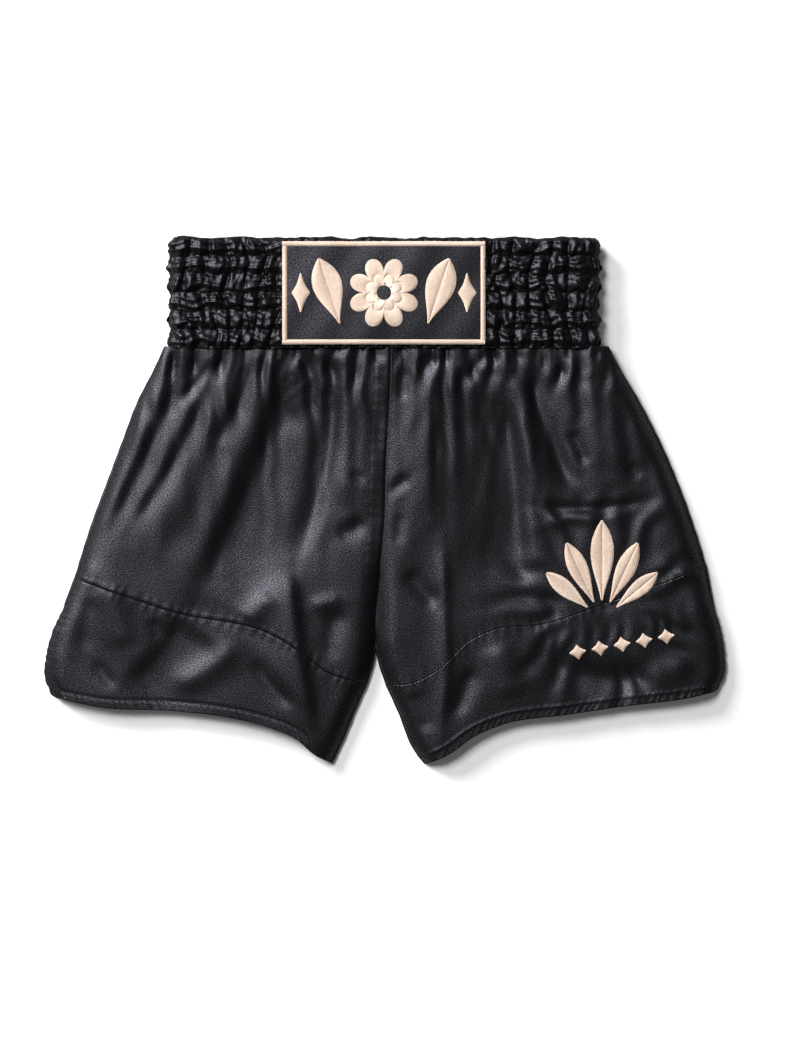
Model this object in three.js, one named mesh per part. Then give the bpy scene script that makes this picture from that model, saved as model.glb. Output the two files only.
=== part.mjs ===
// Boxing shorts in satin, laid flat on their back with the front facing up.
// Millimetres. +X is the wearer's left, +Y runs from the hems to the waistband, +Z is up.
// The origin is under the middle of the shorts, on the surface they lie on.
import * as THREE from "three";
import { mergeVertices } from "three/addons/utils/BufferGeometryUtils.js";

// ---- Overall sizes -------------------------------------------------------------------
const waistWidth = 346; // waistband, flat and relaxed
const bandHeight = 88; // waistband, top edge to waist seam
const bodyLength = 334; // waist seam to the lowest point of a hem
const hemSpan = 548; // over both legs at the outer hem corners

// ---- Outline of the legs, as shares of the body length -------------------------------
const sideDrop = 0.835 * bodyLength; // waist seam down to the outer hem corner
const ventHeight = 0.225 * bodyLength; // open side vent above the outer hem corner
const riseLength = 0.692 * bodyLength; // waist seam down to where the legs part
const riseSeamLength = 0.866 * riseLength; // sewn length of the centre seams

// ---- Outline of the legs, as shares of the hem span ----------------------------------
const hemGap = 0.135 * hemSpan; // between the inner corners of the two hems
const ventInset = 0.026 * hemSpan; // how far the top of the vent stands in from the corner
const sideBulge = 0.026 * hemSpan; // pull of the side seam's curve, outwards
const ventBulge = 0.02 * hemSpan; // pull of the vent edge's curve, outwards
const waistFlare = 5; // how far the panels stand out past the band at the waist seam
const legPartGap = 1.4; // between the legs where they part
const bandSeamAtSide = 0.87; // share of the side seam at which the hem band starts
const bandSeamAtInseam = 0.52; // share of the inseam at which the hem band starts
const bandSeamSag = 0.11 * bodyLength; // how far the band seam dips below its outer end
const hemRise = 0.033 * bodyLength; // how far the hem's curve is pulled down near its ends

// ---- Cloth ---------------------------------------------------------------------------
const cloth = 0.9; // one layer of satin with its seam bulk
const gap = 0.35; // between neighbouring pieces
const waistSeamDrop = 3.5; // from the waistband's front down to the panels' underside at the waist seam
const frontLiftAtHem = 11; // underside of the front panels at the hem's lowest point
const seamThickness = 1.2; // overlocked side seams and inseams
const gatherHeight = 2.5; // rise of the pleats that the waist seam gathers
const gatherShare = 0.42; // share of a panel's height over which they die out
const turnUpWidth = 9; // hem turned up inside
const turnUpThickness = 1.1;
const riseAllowance = 13; // felled allowance of the centre seams
const riseOverlap = 1.5; // of that allowance, the part on the wearer's left

// ---- Waistband -----------------------------------------------------------------------
const bandThickness = 22; // front and back together
const shell = 2; // one gathered layer
const tapeThickness = 1.6;
const layerPitch = (shell + tapeThickness) / 2 + 2 * gap; // between the middles of two layers
const stitchDip = 1.3; // depth of the stitch lines between the elastic channels
const tapeCount = 6; // elastic channels, one above another
const tapeShare = 0.68; // width of a tape in its channel
const patchWidth = 162;
const patchHeight = 82;
const patchThickness = 1.2;
const borderWidth = 4;
const embroidery = 1.1; // height of satin stitch above its ground

// ---- Ornament ------------------------------------------------------------------------
const rosetteRadius = Math.min(0.35 * patchHeight, 0.179 * patchWidth);
const rosettePetals = 8;
const rosetteEye = 0.2 * rosetteRadius; // radius of the open middle
const leafLength = 0.68 * patchHeight;
const leafWidth = 0.135 * patchWidth;
const leafLean = 18; // degrees that a leaf leans away from the rosette
const leafPlace = 0.262 * patchWidth; // from the rosette's middle to a leaf's middle
const lozengeWidth = 0.09 * patchWidth;
const lozengeHeight = 0.4 * patchHeight;
const lozengePlace = 0.41 * patchWidth;
const emblemAcross = 0.638; // foot of the fan of petals, across the leg's half span
const emblemDown = 0.65; // and down the body length
const emblemPetals = 5;
const petalLength = 68; // the middle petal
const petalWidth = 17;
const petalFan = 25; // degrees between petals
const petalFoot = 12; // distance of the petals' feet from the foot of the fan
const petalShrink = 0.83; // length of each petal against its inner neighbour
const beadCount = 5; // small lozenges in a row under the emblem
const beadPitch = 18;
const beadLength = 14;
const beadHeight = 12;
const beadRowX = 16; // the bead row's middle, from the foot of the fan
const beadRowY = -20;
const beadTilt = 10; // degrees that the bead row climbs towards the side seam
const backingWidth = 100;
const backingHeight = 124;
const backingThickness = 0.5;

// ---- Label ---------------------------------------------------------------------------
const labelWidth = 34;
const labelLength = 46;
const labelThickness = 0.6;
const labelDrop = 6; // below the waistband's top edge

// ---- Worked out ----------------------------------------------------------------------
const top = (bandHeight + bodyLength) / 2;
const waistSeam = top - bandHeight;
const hemLow = waistSeam - bodyLength;
const hemCorner = waistSeam - sideDrop;
const ventTop = hemCorner + ventHeight;
const legPart = waistSeam - riseLength;
const midHeight = bandThickness / 2;
const frontLiftAtWaist = bandThickness - waistSeamDrop; // underside of the front panels there
const middleOfBand = (top + waistSeam) / 2;
const emblemX = (emblemAcross * hemSpan) / 2;
const emblemY = waistSeam - emblemDown * bodyLength;
const channel = bandHeight / tapeCount;
const tapeWidth = tapeShare * channel;
const slack = (1 - tapeShare) / 2; // share of a channel on either side of its tape

const materials = {
  satin: new THREE.MeshStandardMaterial({ color: 0x1b1b1f, roughness: 0.42 }),
  lining: new THREE.MeshStandardMaterial({ color: 0x141417, roughness: 0.6 }),
  elastic: new THREE.MeshStandardMaterial({ color: 0x26262a, roughness: 0.85 }),
  thread: new THREE.MeshStandardMaterial({ color: 0xe9cdb8, roughness: 0.5 }),
  backing: new THREE.MeshStandardMaterial({ color: 0x2b2b2e, roughness: 0.95 }),
  label: new THREE.MeshStandardMaterial({ color: 0xd9d9d6, roughness: 0.7 }),
};

const shorts = new THREE.Group();

// ---- Making closed sheets ------------------------------------------------------------

/** Six times the signed volume inside an indexed geometry. */
function signedVolume(geometry) {
  const position = geometry.getAttribute("position");
  const [a, b, c] = [new THREE.Vector3(), new THREE.Vector3(), new THREE.Vector3()];
  let sum = 0;
  for (let i = 0; i < geometry.index.count; i += 3) {
    a.fromBufferAttribute(position, geometry.index.getX(i));
    b.fromBufferAttribute(position, geometry.index.getX(i + 1));
    c.fromBufferAttribute(position, geometry.index.getX(i + 2));
    sum += a.dot(b.cross(c));
  }
  return sum;
}

/** A closed sheet of across by down cells. place(u, v, w) gives the point at shares u, v, w. */
function sheet(across, down, place) {
  const box = new THREE.BoxGeometry(1, 1, 1, across, down, 1);
  const position = box.getAttribute("position");
  for (let i = 0; i < position.count; i++) {
    const p = place(
      position.getX(i) + 0.5,
      0.5 - position.getY(i),
      position.getZ(i) + 0.5,
    );
    position.setXYZ(i, p.x, p.y, p.z);
  }
  box.deleteAttribute("normal");
  box.deleteAttribute("uv");
  const merged = mergeVertices(box, 1e-4);
  if (signedVolume(merged) < 0) merged.index.array.reverse();
  merged.computeVertexNormals();
  return merged;
}

/** Adds one named piece to the shorts. */
function add(name, geometry, material) {
  const mesh = new THREE.Mesh(geometry, material);
  mesh.name = name;
  shorts.add(mesh);
  return mesh;
}

const mix = THREE.MathUtils.lerp;

/** The point between four edges, by Coons' rule. Edges run outer to inner and top to bottom. */
function between(edges, u, v) {
  const upper = edges.upper(u);
  const lower = edges.lower(u);
  const outer = edges.outer(v);
  const inner = edges.inner(v);
  const corner = (axis) =>
    mix(
      mix(edges.upper(0)[axis], edges.upper(1)[axis], u),
      mix(edges.lower(0)[axis], edges.lower(1)[axis], u),
      v,
    );
  const at = (axis) =>
    mix(outer[axis], inner[axis], u) + mix(upper[axis], lower[axis], v) - corner(axis);
  return new THREE.Vector2(at("x"), at("y"));
}

// ---- The outline of one leg, on the +X side ------------------------------------------

const sideCurve = new THREE.QuadraticBezierCurve(
  new THREE.Vector2(waistWidth / 2 + waistFlare, waistSeam),
  new THREE.Vector2(
    (waistWidth / 2 + waistFlare + hemSpan / 2 - ventInset) / 2 + sideBulge,
    (waistSeam + ventTop) / 2,
  ),
  new THREE.Vector2(hemSpan / 2 - ventInset, ventTop),
);

const ventCurve = new THREE.QuadraticBezierCurve(
  sideCurve.v2,
  new THREE.Vector2(
    hemSpan / 2 - ventInset / 2 + ventBulge - ventInset / 2,
    (ventTop + hemCorner) / 2,
  ),
  new THREE.Vector2(hemSpan / 2, hemCorner),
);

const inseamCurve = new THREE.QuadraticBezierCurve(
  new THREE.Vector2(legPartGap / 2, legPart),
  new THREE.Vector2(legPartGap / 2 + 2, mix(legPart, hemLow, 0.31)),
  new THREE.Vector2(hemGap / 2, hemLow),
);

const legWidthAtHem = (hemSpan - hemGap) / 2;

const hemCurve = new THREE.CubicBezierCurve(
  ventCurve.v2,
  new THREE.Vector2(hemSpan / 2 - 0.4 * legWidthAtHem, hemCorner - 1.25 * hemRise),
  new THREE.Vector2(hemGap / 2 + 0.27 * legWidthAtHem, hemCorner - 0.75 * hemRise),
  inseamCurve.v2,
);

const bandSeamOuter = sideCurve.getPoint(bandSeamAtSide);
const bandSeamInner = inseamCurve.getPoint(bandSeamAtInseam);
const bandSeamCurve = new THREE.CubicBezierCurve(
  bandSeamOuter,
  new THREE.Vector2(mix(bandSeamOuter.x, bandSeamInner.x, 0.26), bandSeamOuter.y - bandSeamSag),
  new THREE.Vector2(mix(bandSeamOuter.x, bandSeamInner.x, 0.59), bandSeamOuter.y - bandSeamSag),
  bandSeamInner,
);

/** Height of the underside of the front panels at a given y. */
function frontHeight(y) {
  return mix(frontLiftAtHem, frontLiftAtWaist, (y - hemLow) / bodyLength);
}

/** Edge points moved inwards from the side seam or inseam, so that those seams have room. */
const seamRoom = seamThickness + gap;

function insideSide(point) {
  return new THREE.Vector2(point.x - seamRoom, point.y);
}

function insideInseam(point) {
  return new THREE.Vector2(point.x + seamRoom, point.y);
}

const centreEdge = gap / 2; // half the gap between the two panels at a centre seam
const riseShare = riseLength / (waistSeam - bandSeamInner.y);

/** Inner edge of a main panel: down the centre seam, then along the inseam. */
function panelInnerEdge(v) {
  if (v < riseShare) {
    const down = v / riseShare;
    const open = Math.max(0, (down * riseLength - riseSeamLength) / (riseLength - riseSeamLength));
    return new THREE.Vector2(
      mix(centreEdge, legPartGap / 2 + seamRoom, open),
      mix(waistSeam, legPart, down),
    );
  }
  const t = ((v - riseShare) / (1 - riseShare)) * bandSeamAtInseam;
  return insideInseam(inseamCurve.getPoint(t));
}

const panelEdges = {
  upper: (u) => new THREE.Vector2(mix(sideCurve.v0.x - seamRoom, centreEdge, u), waistSeam - gap),
  lower: (u) => {
    const p = bandSeamCurve.getPoint(u);
    return new THREE.Vector2(p.x + mix(-seamRoom, seamRoom, u), p.y + gap / 2);
  },
  outer: (v) => insideSide(sideCurve.getPoint(v * bandSeamAtSide)),
  inner: panelInnerEdge,
};

const bandRows = 6; // steps down a hem band
const ventShare = 2 / bandRows; // of a hem band's outer edge, the part above the vent

const bandEdges = {
  upper: (u) => {
    const p = bandSeamCurve.getPoint(u);
    return new THREE.Vector2(p.x + mix(-seamRoom, seamRoom, u), p.y - gap / 2);
  },
  lower: (u) => {
    const p = hemCurve.getPoint(u);
    return new THREE.Vector2(p.x + mix(-seamRoom, seamRoom, u), p.y);
  },
  outer: (v) => {
    const above = v < ventShare;
    const p = above
      ? sideCurve.getPoint(mix(bandSeamAtSide, 1, v / ventShare))
      : ventCurve.getPoint((v - ventShare) / (1 - ventShare));
    return insideSide(p);
  },
  inner: (v) => insideInseam(inseamCurve.getPoint(mix(bandSeamAtInseam, 1, v))),
};

// ---- Panels, hem bands and turned-up hems --------------------------------------------

const sides = [
  { side: "left", sign: 1 },
  { side: "right", sign: -1 },
];

const seamSteps = 14; // panel and band share their seam, so they share its steps
const flat = () => 0;

/** Pleats under the waist seam: every other step across is raised, less and less going down. */
function gathers(u, v) {
  const raised = Math.round(u * seamSteps) % 2;
  return raised * gatherHeight * Math.max(0, 1 - v / gatherShare) ** 1.5;
}

/** A piece cut to the four edges, lying flat for the back or lifted for the front. */
function cutPiece(edges, down, sign, lift, relief) {
  return sheet(seamSteps, down, (u, v, w) => {
    const p = between(edges, u, v);
    return new THREE.Vector3(sign * p.x, p.y, lift(p.y) + relief(u, v) + w * cloth);
  });
}

for (const { side, sign } of sides) {
  add(`front_panel_${side}`, cutPiece(panelEdges, 14, sign, frontHeight, gathers), materials.satin);
  add(`back_panel_${side}`, cutPiece(panelEdges, 14, sign, flat, flat), materials.satin);
  add(`front_hem_band_${side}`, cutPiece(bandEdges, bandRows, sign, frontHeight, flat), materials.satin);
  add(`back_hem_band_${side}`, cutPiece(bandEdges, bandRows, sign, flat, flat), materials.satin);
}

/** Where the turned-up hem runs: down the vent, round the corner and along the hem. */
const turnUpPath = new THREE.CurvePath();
turnUpPath.add(ventCurve);
turnUpPath.add(hemCurve);

/** The inseam's x at a given y, found by halving. */
function inseamAt(y) {
  let [low, high] = [0, 1];
  for (let i = 0; i < 20; i++) {
    const middle = (low + high) / 2;
    if (inseamCurve.getPoint(middle).y > y) low = middle;
    else high = middle;
  }
  return inseamCurve.getPoint(low).x;
}

/** A hem turned up inside, on a leg's inner face. */
function turnUp(sign, lift) {
  const steps = 26;
  const start = 0.02;
  const end = 0.98;
  return sheet(steps, 1, (u, v, w) => {
    const t = mix(start, end, u);
    const p = turnUpPath.getPoint(t);
    const before = turnUpPath.getPoint(Math.max(0, t - 0.03));
    const after = turnUpPath.getPoint(Math.min(1, t + 0.03));
    const along = after.sub(before).normalize();
    const inwards = new THREE.Vector2(along.y, -along.x);
    p.addScaledVector(inwards, seamRoom + v * turnUpWidth);
    p.x = Math.max(p.x, inseamAt(p.y) + seamRoom + gap);
    return new THREE.Vector3(sign * p.x, p.y, lift(p.y) + w * turnUpThickness);
  });
}

const underFront = (y) => frontHeight(y) - gap - turnUpThickness;
const overBack = () => cloth + gap;

for (const { side, sign } of sides) {
  add(`front_hem_turnup_${side}`, turnUp(sign, underFront), materials.satin);
  add(`back_hem_turnup_${side}`, turnUp(sign, overBack), materials.satin);
}

// ---- Seams that close the legs -------------------------------------------------------

/** A standing seam along a curve, from the back panels up to the front ones. */
function standingSeam(curve, inwards, sign, steps) {
  return sheet(steps, 1, (u, v, w) => {
    const p = curve.getPoint(u);
    const height = frontHeight(p.y) + cloth;
    return new THREE.Vector3(sign * (p.x + inwards * w * seamThickness), p.y, v * height);
  });
}

for (const { side, sign } of sides) {
  add(`side_seam_${side}`, standingSeam(sideCurve, -1, sign, 12), materials.satin);
  add(`inseam_${side}`, standingSeam(inseamCurve, 1, sign, 8), materials.satin);
}

/** The felled allowance of a centre seam, inside the shorts. */
function riseSeam(lift) {
  return sheet(1, 8, (u, v, w) => {
    const x = mix(riseOverlap, riseOverlap - riseAllowance, u);
    const y = waistSeam - gap - v * riseSeamLength;
    return new THREE.Vector3(x, y, lift(y) + w * cloth);
  });
}

add("front_rise_seam", riseSeam((y) => frontHeight(y) - gap - cloth), materials.satin);
add("back_rise_seam", riseSeam(overBack), materials.satin);

// ---- Waistband: rings of one stadium shape -------------------------------------------

/** Half width between the round ends of every waistband layer. */
const straight = waistWidth / 2 - midHeight;
const arcSteps = 4; // over a quarter turn, the same in every layer

/** A point on a half ring: s runs 0-1 round the +X end, 1-2 straight across, 2-3 round the -X end. */
function halfRing(s, radius) {
  const past = Math.max(s - 1, 0) - Math.max(s - 2, 0);
  const angle = (s - past) * (Math.PI / 2);
  return {
    x: mix(straight, -straight, past) + radius * Math.cos(angle),
    z: radius * Math.sin(angle),
  };
}

/** The stop at which the straight part stands at x. */
const stopAt = (x) => 1 + (straight - x) / (2 * straight);

/** Evenly spread stops, both ends included. */
function stops(from, to, steps) {
  return Array.from({ length: steps + 1 }, (_, i) => mix(from, to, i / steps));
}

/** The first stop of a layer, just past the tip, where front and back are sewn together. */
const tip = (radius) => gap / 2 / radius / (Math.PI / 2);

/** The +X end of a ring, up to where the straight part begins. */
const leftEnd = (radius) => stops(tip(radius), 1, arcSteps).slice(0, -1);
const rightEnd = (radius) => leftEnd(radius).map((s) => 3 - s).reverse();

/** How far the gathered cloth is drawn in, at a share v of the band's height. */
function puff(v) {
  const inChannel = (v * tapeCount) % 1;
  const toStitch = Math.min(inChannel, 1 - inChannel);
  return -stitchDip * Math.max(0, 1 - toStitch / slack);
}

const downStops = [0];
for (let i = 0; i < tapeCount; i++) {
  downStops.push((i + slack) / tapeCount, (i + 1 - slack) / tapeCount, (i + 1) / tapeCount);
}

/** Part of a waistband ring over a list of stops. face is 1 on the front and -1 on the back. */
function bandPiece(ring, radius, face, down, relief) {
  const across = ring.length - 1;
  return sheet(across, down.length - 1, (u, v, w) => {
    const share = down[Math.round(v * (down.length - 1))];
    const p = halfRing(ring[Math.round(u * across)], radius + (w - 0.5) * shell + relief(share));
    return new THREE.Vector3(p.x, mix(top, waistSeam, share), midHeight + face * p.z);
  });
}

const casingRadius = midHeight - shell / 2;
const tapeRadius = casingRadius - layerPitch;
const liningRadius = tapeRadius - layerPitch;
const besidePatch = patchWidth / 2 - borderWidth;
const patchEdge = stopAt(besidePatch + gap / 2);
const behindPatch = stopAt(besidePatch - gap / 2);
const smooth = () => 0;

const frontLeft = [...leftEnd(casingRadius), ...stops(1, patchEdge, 3)];
const frontRight = frontLeft.map((s) => 3 - s).reverse();
const frontMiddle = stops(behindPatch, 3 - behindPatch, 2);
const wholeHalf = (radius) => [...leftEnd(radius), ...stops(1, 2, 6), ...rightEnd(radius)];

add("casing_front_left", bandPiece(frontLeft, casingRadius, 1, downStops, puff), materials.satin);
add("casing_front_right", bandPiece(frontRight, casingRadius, 1, downStops, puff), materials.satin);
add("casing_front_middle", bandPiece(frontMiddle, casingRadius, 1, [0, 1], smooth), materials.satin);
add("casing_back", bandPiece(wholeHalf(casingRadius), casingRadius, -1, downStops, puff),
  materials.satin);
add("lining_front", bandPiece(wholeHalf(liningRadius), liningRadius, 1, [0, 1], smooth),
  materials.lining);
add("lining_back", bandPiece(wholeHalf(liningRadius), liningRadius, -1, [0, 1], smooth),
  materials.lining);

/** Outline of a stadium, as a path to extrude or to cut out. */
function stadiumPath(path, radius) {
  path.moveTo(-straight, -radius);
  path.lineTo(straight, -radius);
  path.absarc(straight, 0, radius, -Math.PI / 2, Math.PI / 2, false);
  path.lineTo(-straight, radius);
  path.absarc(-straight, 0, radius, Math.PI / 2, (3 * Math.PI) / 2, false);
  return path;
}

for (let i = 0; i < tapeCount; i++) {
  const ring = stadiumPath(new THREE.Shape(), tapeRadius + tapeThickness / 2);
  ring.holes.push(stadiumPath(new THREE.Path(), tapeRadius - tapeThickness / 2));
  const tape = new THREE.ExtrudeGeometry(ring, {
    depth: tapeWidth,
    bevelEnabled: false,
    curveSegments: 2 * arcSteps,
  });
  const mesh = add(`elastic_tape_${i + 1}`, tape, materials.elastic);
  mesh.rotation.x = Math.PI / 2;
  mesh.position.set(0, top - (i + 0.5) * channel + tapeWidth / 2, midHeight);
}

// ---- Patch on the front of the waistband ---------------------------------------------

/** A flat plate with its underside at z. */
function plate(name, shape, thickness, x, y, z, material) {
  const geometry = new THREE.ExtrudeGeometry(shape, {
    depth: thickness,
    bevelEnabled: false,
    curveSegments: 6,
  });
  const mesh = add(name, geometry, material);
  mesh.position.set(x, y, z);
  return mesh;
}

/** A rectangle about its own middle. */
function rectangle(path, width, height) {
  path.moveTo(-width / 2, -height / 2);
  path.lineTo(width / 2, -height / 2);
  path.lineTo(width / 2, height / 2);
  path.lineTo(-width / 2, height / 2);
  path.closePath();
  return path;
}

/** A pointed petal that stands on its foot at y 0. */
function petal(width, length) {
  const shape = new THREE.Shape();
  shape.moveTo(0, 0);
  shape.bezierCurveTo(width * 0.12, length * 0.3, width * 1.15, length * 0.62, 0, length);
  shape.bezierCurveTo(-width * 1.15, length * 0.62, -width * 0.12, length * 0.3, 0, 0);
  return shape;
}

/** An upright lozenge about its own middle. */
function lozenge(width, height) {
  const shape = new THREE.Shape();
  shape.moveTo(0, -height / 2);
  shape.lineTo(width / 2, 0);
  shape.lineTo(0, height / 2);
  shape.lineTo(-width / 2, 0);
  shape.closePath();
  return shape;
}

const patchZ = bandThickness + gap;
const stitchZ = patchZ + patchThickness + gap;

const patchPiece = (name, shape, thickness, x, z, material) =>
  plate(name, shape, thickness, x, middleOfBand, z, material);

patchPiece("waist_patch", rectangle(new THREE.Shape(), patchWidth - 2 * gap, patchHeight - 2 * gap),
  patchThickness, 0, patchZ, materials.satin);

const border = rectangle(new THREE.Shape(), patchWidth, patchHeight);
border.holes.push(
  rectangle(new THREE.Path(), patchWidth - 2 * borderWidth, patchHeight - 2 * borderWidth),
);
patchPiece("patch_border", border, embroidery, 0, stitchZ, materials.thread);

/** Points once round the middle, at the distance that radius(turn) gives. */
function roundPoints(steps, radius) {
  return Array.from({ length: steps }, (_, i) => {
    const turn = (i / steps) * 2 * Math.PI;
    const r = radius(turn);
    return new THREE.Vector2(r * Math.cos(turn), r * Math.sin(turn));
  });
}

/** A flower outline with rounded petals and an open middle. */
function rosette(radius, petals, eye) {
  const lobe = (turn) => Math.sqrt(Math.abs(Math.sin((turn * petals) / 2)));
  const shape = new THREE.Shape(
    roundPoints(petals * 8, (turn) => radius * (0.52 + 0.48 * lobe(turn))),
  );
  shape.holes.push(new THREE.Path(roundPoints(16, () => eye)));
  return shape;
}

patchPiece("patch_rosette", rosette(rosetteRadius, rosettePetals, rosetteEye), embroidery,
  0, stitchZ, materials.thread);

for (const { side, sign } of sides) {
  const leaf = patchPiece(`patch_leaf_${side}`, petal(leafWidth, leafLength), embroidery,
    0, stitchZ, materials.thread);
  const lean = THREE.MathUtils.degToRad(-sign * leafLean);
  leaf.rotation.z = lean;
  leaf.position.x = sign * leafPlace + (Math.sin(lean) * leafLength) / 2;
  leaf.position.y -= (Math.cos(lean) * leafLength) / 2;
  patchPiece(`patch_lozenge_${side}`, lozenge(lozengeWidth, lozengeHeight), embroidery,
    sign * lozengePlace, stitchZ, materials.thread);
}

// ---- Emblem on the wearer's left leg -------------------------------------------------

const slope = Math.atan((frontLiftAtWaist - frontLiftAtHem) / bodyLength);

/** Puts a flat plate on the sloping front at (x, y), lifted by a clearance, turned by an angle. */
function onFront(mesh, x, y, lift, angle) {
  mesh.rotation.set(slope, 0, 0);
  mesh.rotateZ(angle);
  mesh.position.set(x, y, frontHeight(y) + lift);
}

for (let i = 0; i < emblemPetals; i++) {
  const fromMiddle = i - (emblemPetals - 1) / 2;
  const angle = THREE.MathUtils.degToRad(-petalFan * fromMiddle);
  const shrink = petalShrink ** Math.abs(fromMiddle);
  const shape = petal(petalWidth * shrink, petalLength * shrink);
  const mesh = plate(`emblem_petal_${i + 1}`, shape, embroidery, 0, 0, 0, materials.thread);
  onFront(mesh, emblemX - Math.sin(angle) * petalFoot, emblemY + Math.cos(angle) * petalFoot,
    cloth + gap, angle);
}

for (let i = 0; i < beadCount; i++) {
  const tilt = THREE.MathUtils.degToRad(beadTilt);
  const along = (i - (beadCount - 1) / 2) * beadPitch;
  const mesh = plate(`emblem_bead_${i + 1}`, lozenge(beadLength, beadHeight), embroidery,
    0, 0, 0, materials.thread);
  onFront(mesh, emblemX + beadRowX + along * Math.cos(tilt),
    emblemY + beadRowY + along * Math.sin(tilt), cloth + gap, tilt);
}

const oval = new THREE.EllipseCurve(0, 0, backingWidth / 2, backingHeight / 2).getPoints(28);
const backing = plate("emblem_backing", new THREE.Shape(oval.slice(0, -1)),
  backingThickness, 0, 0, 0, materials.backing);
onFront(backing, emblemX + beadRowX / 4, emblemY + backingHeight / 2 - 38,
  -gap - backingThickness, 0);

// ---- Care label inside the back ------------------------------------------------------

const liningTop = midHeight - liningRadius + shell / 2;
plate("care_label", rectangle(new THREE.Shape(), labelWidth, labelLength), labelThickness,
  0, top - labelDrop - labelLength / 2, liningTop + gap, materials.label);

export default shorts;
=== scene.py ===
"""Boxing shorts in black satin, laid flat, with a shirred waistband and peach embroidery."""

import logging
import math
from dataclasses import dataclass, field
from enum import Enum
from typing import Any, Callable, Sequence

import bpy
import numpy as np
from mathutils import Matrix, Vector
from mathutils.bvhtree import BVHTree


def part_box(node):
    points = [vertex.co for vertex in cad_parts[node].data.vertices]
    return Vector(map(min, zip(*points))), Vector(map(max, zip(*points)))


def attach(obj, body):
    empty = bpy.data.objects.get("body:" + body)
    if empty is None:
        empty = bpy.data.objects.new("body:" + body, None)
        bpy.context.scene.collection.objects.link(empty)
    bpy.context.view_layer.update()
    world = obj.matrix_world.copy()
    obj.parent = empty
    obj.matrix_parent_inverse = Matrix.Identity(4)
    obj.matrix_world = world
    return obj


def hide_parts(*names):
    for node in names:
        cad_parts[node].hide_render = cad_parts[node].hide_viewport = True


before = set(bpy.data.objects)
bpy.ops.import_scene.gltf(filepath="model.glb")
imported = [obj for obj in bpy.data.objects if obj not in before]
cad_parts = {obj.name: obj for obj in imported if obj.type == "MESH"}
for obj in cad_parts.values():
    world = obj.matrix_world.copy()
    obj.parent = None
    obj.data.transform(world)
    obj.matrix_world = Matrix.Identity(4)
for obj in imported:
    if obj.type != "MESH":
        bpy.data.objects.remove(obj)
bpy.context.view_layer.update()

MM = 0.001
LEAST_SIDE = 0.0101  # the shortest side given in a sheet's size
LARGEST_FILL = 0.999  # largest share of its width by length given as a sheet's area
LEAST_FILL = 0.31  # and the least share
THREAD_RADIUS = 0.0003
Colour = tuple[float, float, float]
Place = tuple[float, float]
Settings = dict[Any, Any] | None
log = logging.getLogger("shorts")


class Leg(Enum):
    """One leg of the shorts, named for the wearer."""

    LEFT = "left"
    RIGHT = "right"


class Held(Enum):
    """How a piece of cloth is kept in its shape."""

    LAID = "laid"
    GATHERED = "gathered"
    FOLDED = "folded"
    STRETCHED = "stretched"


# ---- Small tools of the trade --------------------------------------------------------


def wave_noise(x: np.ndarray, y: np.ndarray, length: float, seed: int) -> np.ndarray:
    """Smooth random relief made of a few crossed waves.

    Args:
        x: First coordinate of each point.
        y: Second coordinate of each point.
        length: Typical wavelength, in the units of x and y.
        seed: Seed of the random directions and phases.

    Returns:
        Heights of about -1 to 1.
    """
    rng = np.random.default_rng(seed)
    total = np.zeros_like(x, dtype=float)
    for _ in range(9):
        turn = rng.uniform(0, 2 * math.pi)
        scale = 2 * math.pi / (length * rng.uniform(0.7, 1.5))
        phase = rng.uniform(0, 2 * math.pi)
        total += np.sin((x * math.cos(turn) + y * math.sin(turn)) * scale + phase)
    return total / 4.5


def smooth_step(low: float, high: float, value: np.ndarray) -> np.ndarray:
    """A soft step from 0 at low to 1 at high."""
    t = np.clip((value - low) / (high - low), 0.0, 1.0)
    return t * t * (3 - 2 * t)


@dataclass(frozen=True)
class Edge:
    """A smooth edge through a few marked points, in millimetres."""

    marks: tuple[tuple[float, float], ...]

    def at(self, share: np.ndarray) -> np.ndarray:
        """Points along the edge.

        Args:
            share: Shares of the edge's length, 0 to 1.

        Returns:
            One (x, y) row for each share.
        """
        points = np.array(self.marks, dtype=float)
        steps = np.linalg.norm(np.diff(points, axis=0), axis=1)
        knots = np.concatenate([[0.0], np.cumsum(steps)])
        knots /= knots[-1]
        slopes = np.gradient(points, knots, axis=0)
        share = np.clip(share, 0.0, 1.0)
        i = np.clip(np.searchsorted(knots, share, side="right") - 1, 0, len(knots) - 2)
        width = (knots[i + 1] - knots[i])[:, None]
        t = ((share - knots[i])[:, None]) / width
        a, b = points[i], points[i + 1]
        da, db = slopes[i] * width, slopes[i + 1] * width
        return (
            (2 * t**3 - 3 * t**2 + 1) * a
            + (t**3 - 2 * t**2 + t) * da
            + (3 * t**2 - 2 * t**3) * b
            + (t**3 - t**2) * db
        )


def between_edges(upper: Edge, lower: Edge, outer: Edge, inner: Edge, rows: int, cols: int) -> np.ndarray:
    """A grid of points between four edges.

    Args:
        upper: Top edge, from outer to inner.
        lower: Bottom edge, from outer to inner.
        outer: Outer edge, from top to bottom.
        inner: Inner edge, from top to bottom.
        rows: Points down the grid.
        cols: Points across the grid.

    Returns:
        Array of rows by cols by 2.
    """
    u = np.linspace(0, 1, cols)
    v = np.linspace(0, 1, rows)
    top, bottom = upper.at(u)[None], lower.at(u)[None]
    left, right = outer.at(v)[:, None], inner.at(v)[:, None]
    uu, vv = u[None, :, None], v[:, None, None]
    corners = (
        (1 - uu) * (1 - vv) * top[:, :1]
        + uu * (1 - vv) * top[:, -1:]
        + (1 - uu) * vv * bottom[:, :1]
        + uu * vv * bottom[:, -1:]
    )
    return (1 - uu) * left + uu * right + (1 - vv) * top + vv * bottom - corners


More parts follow.
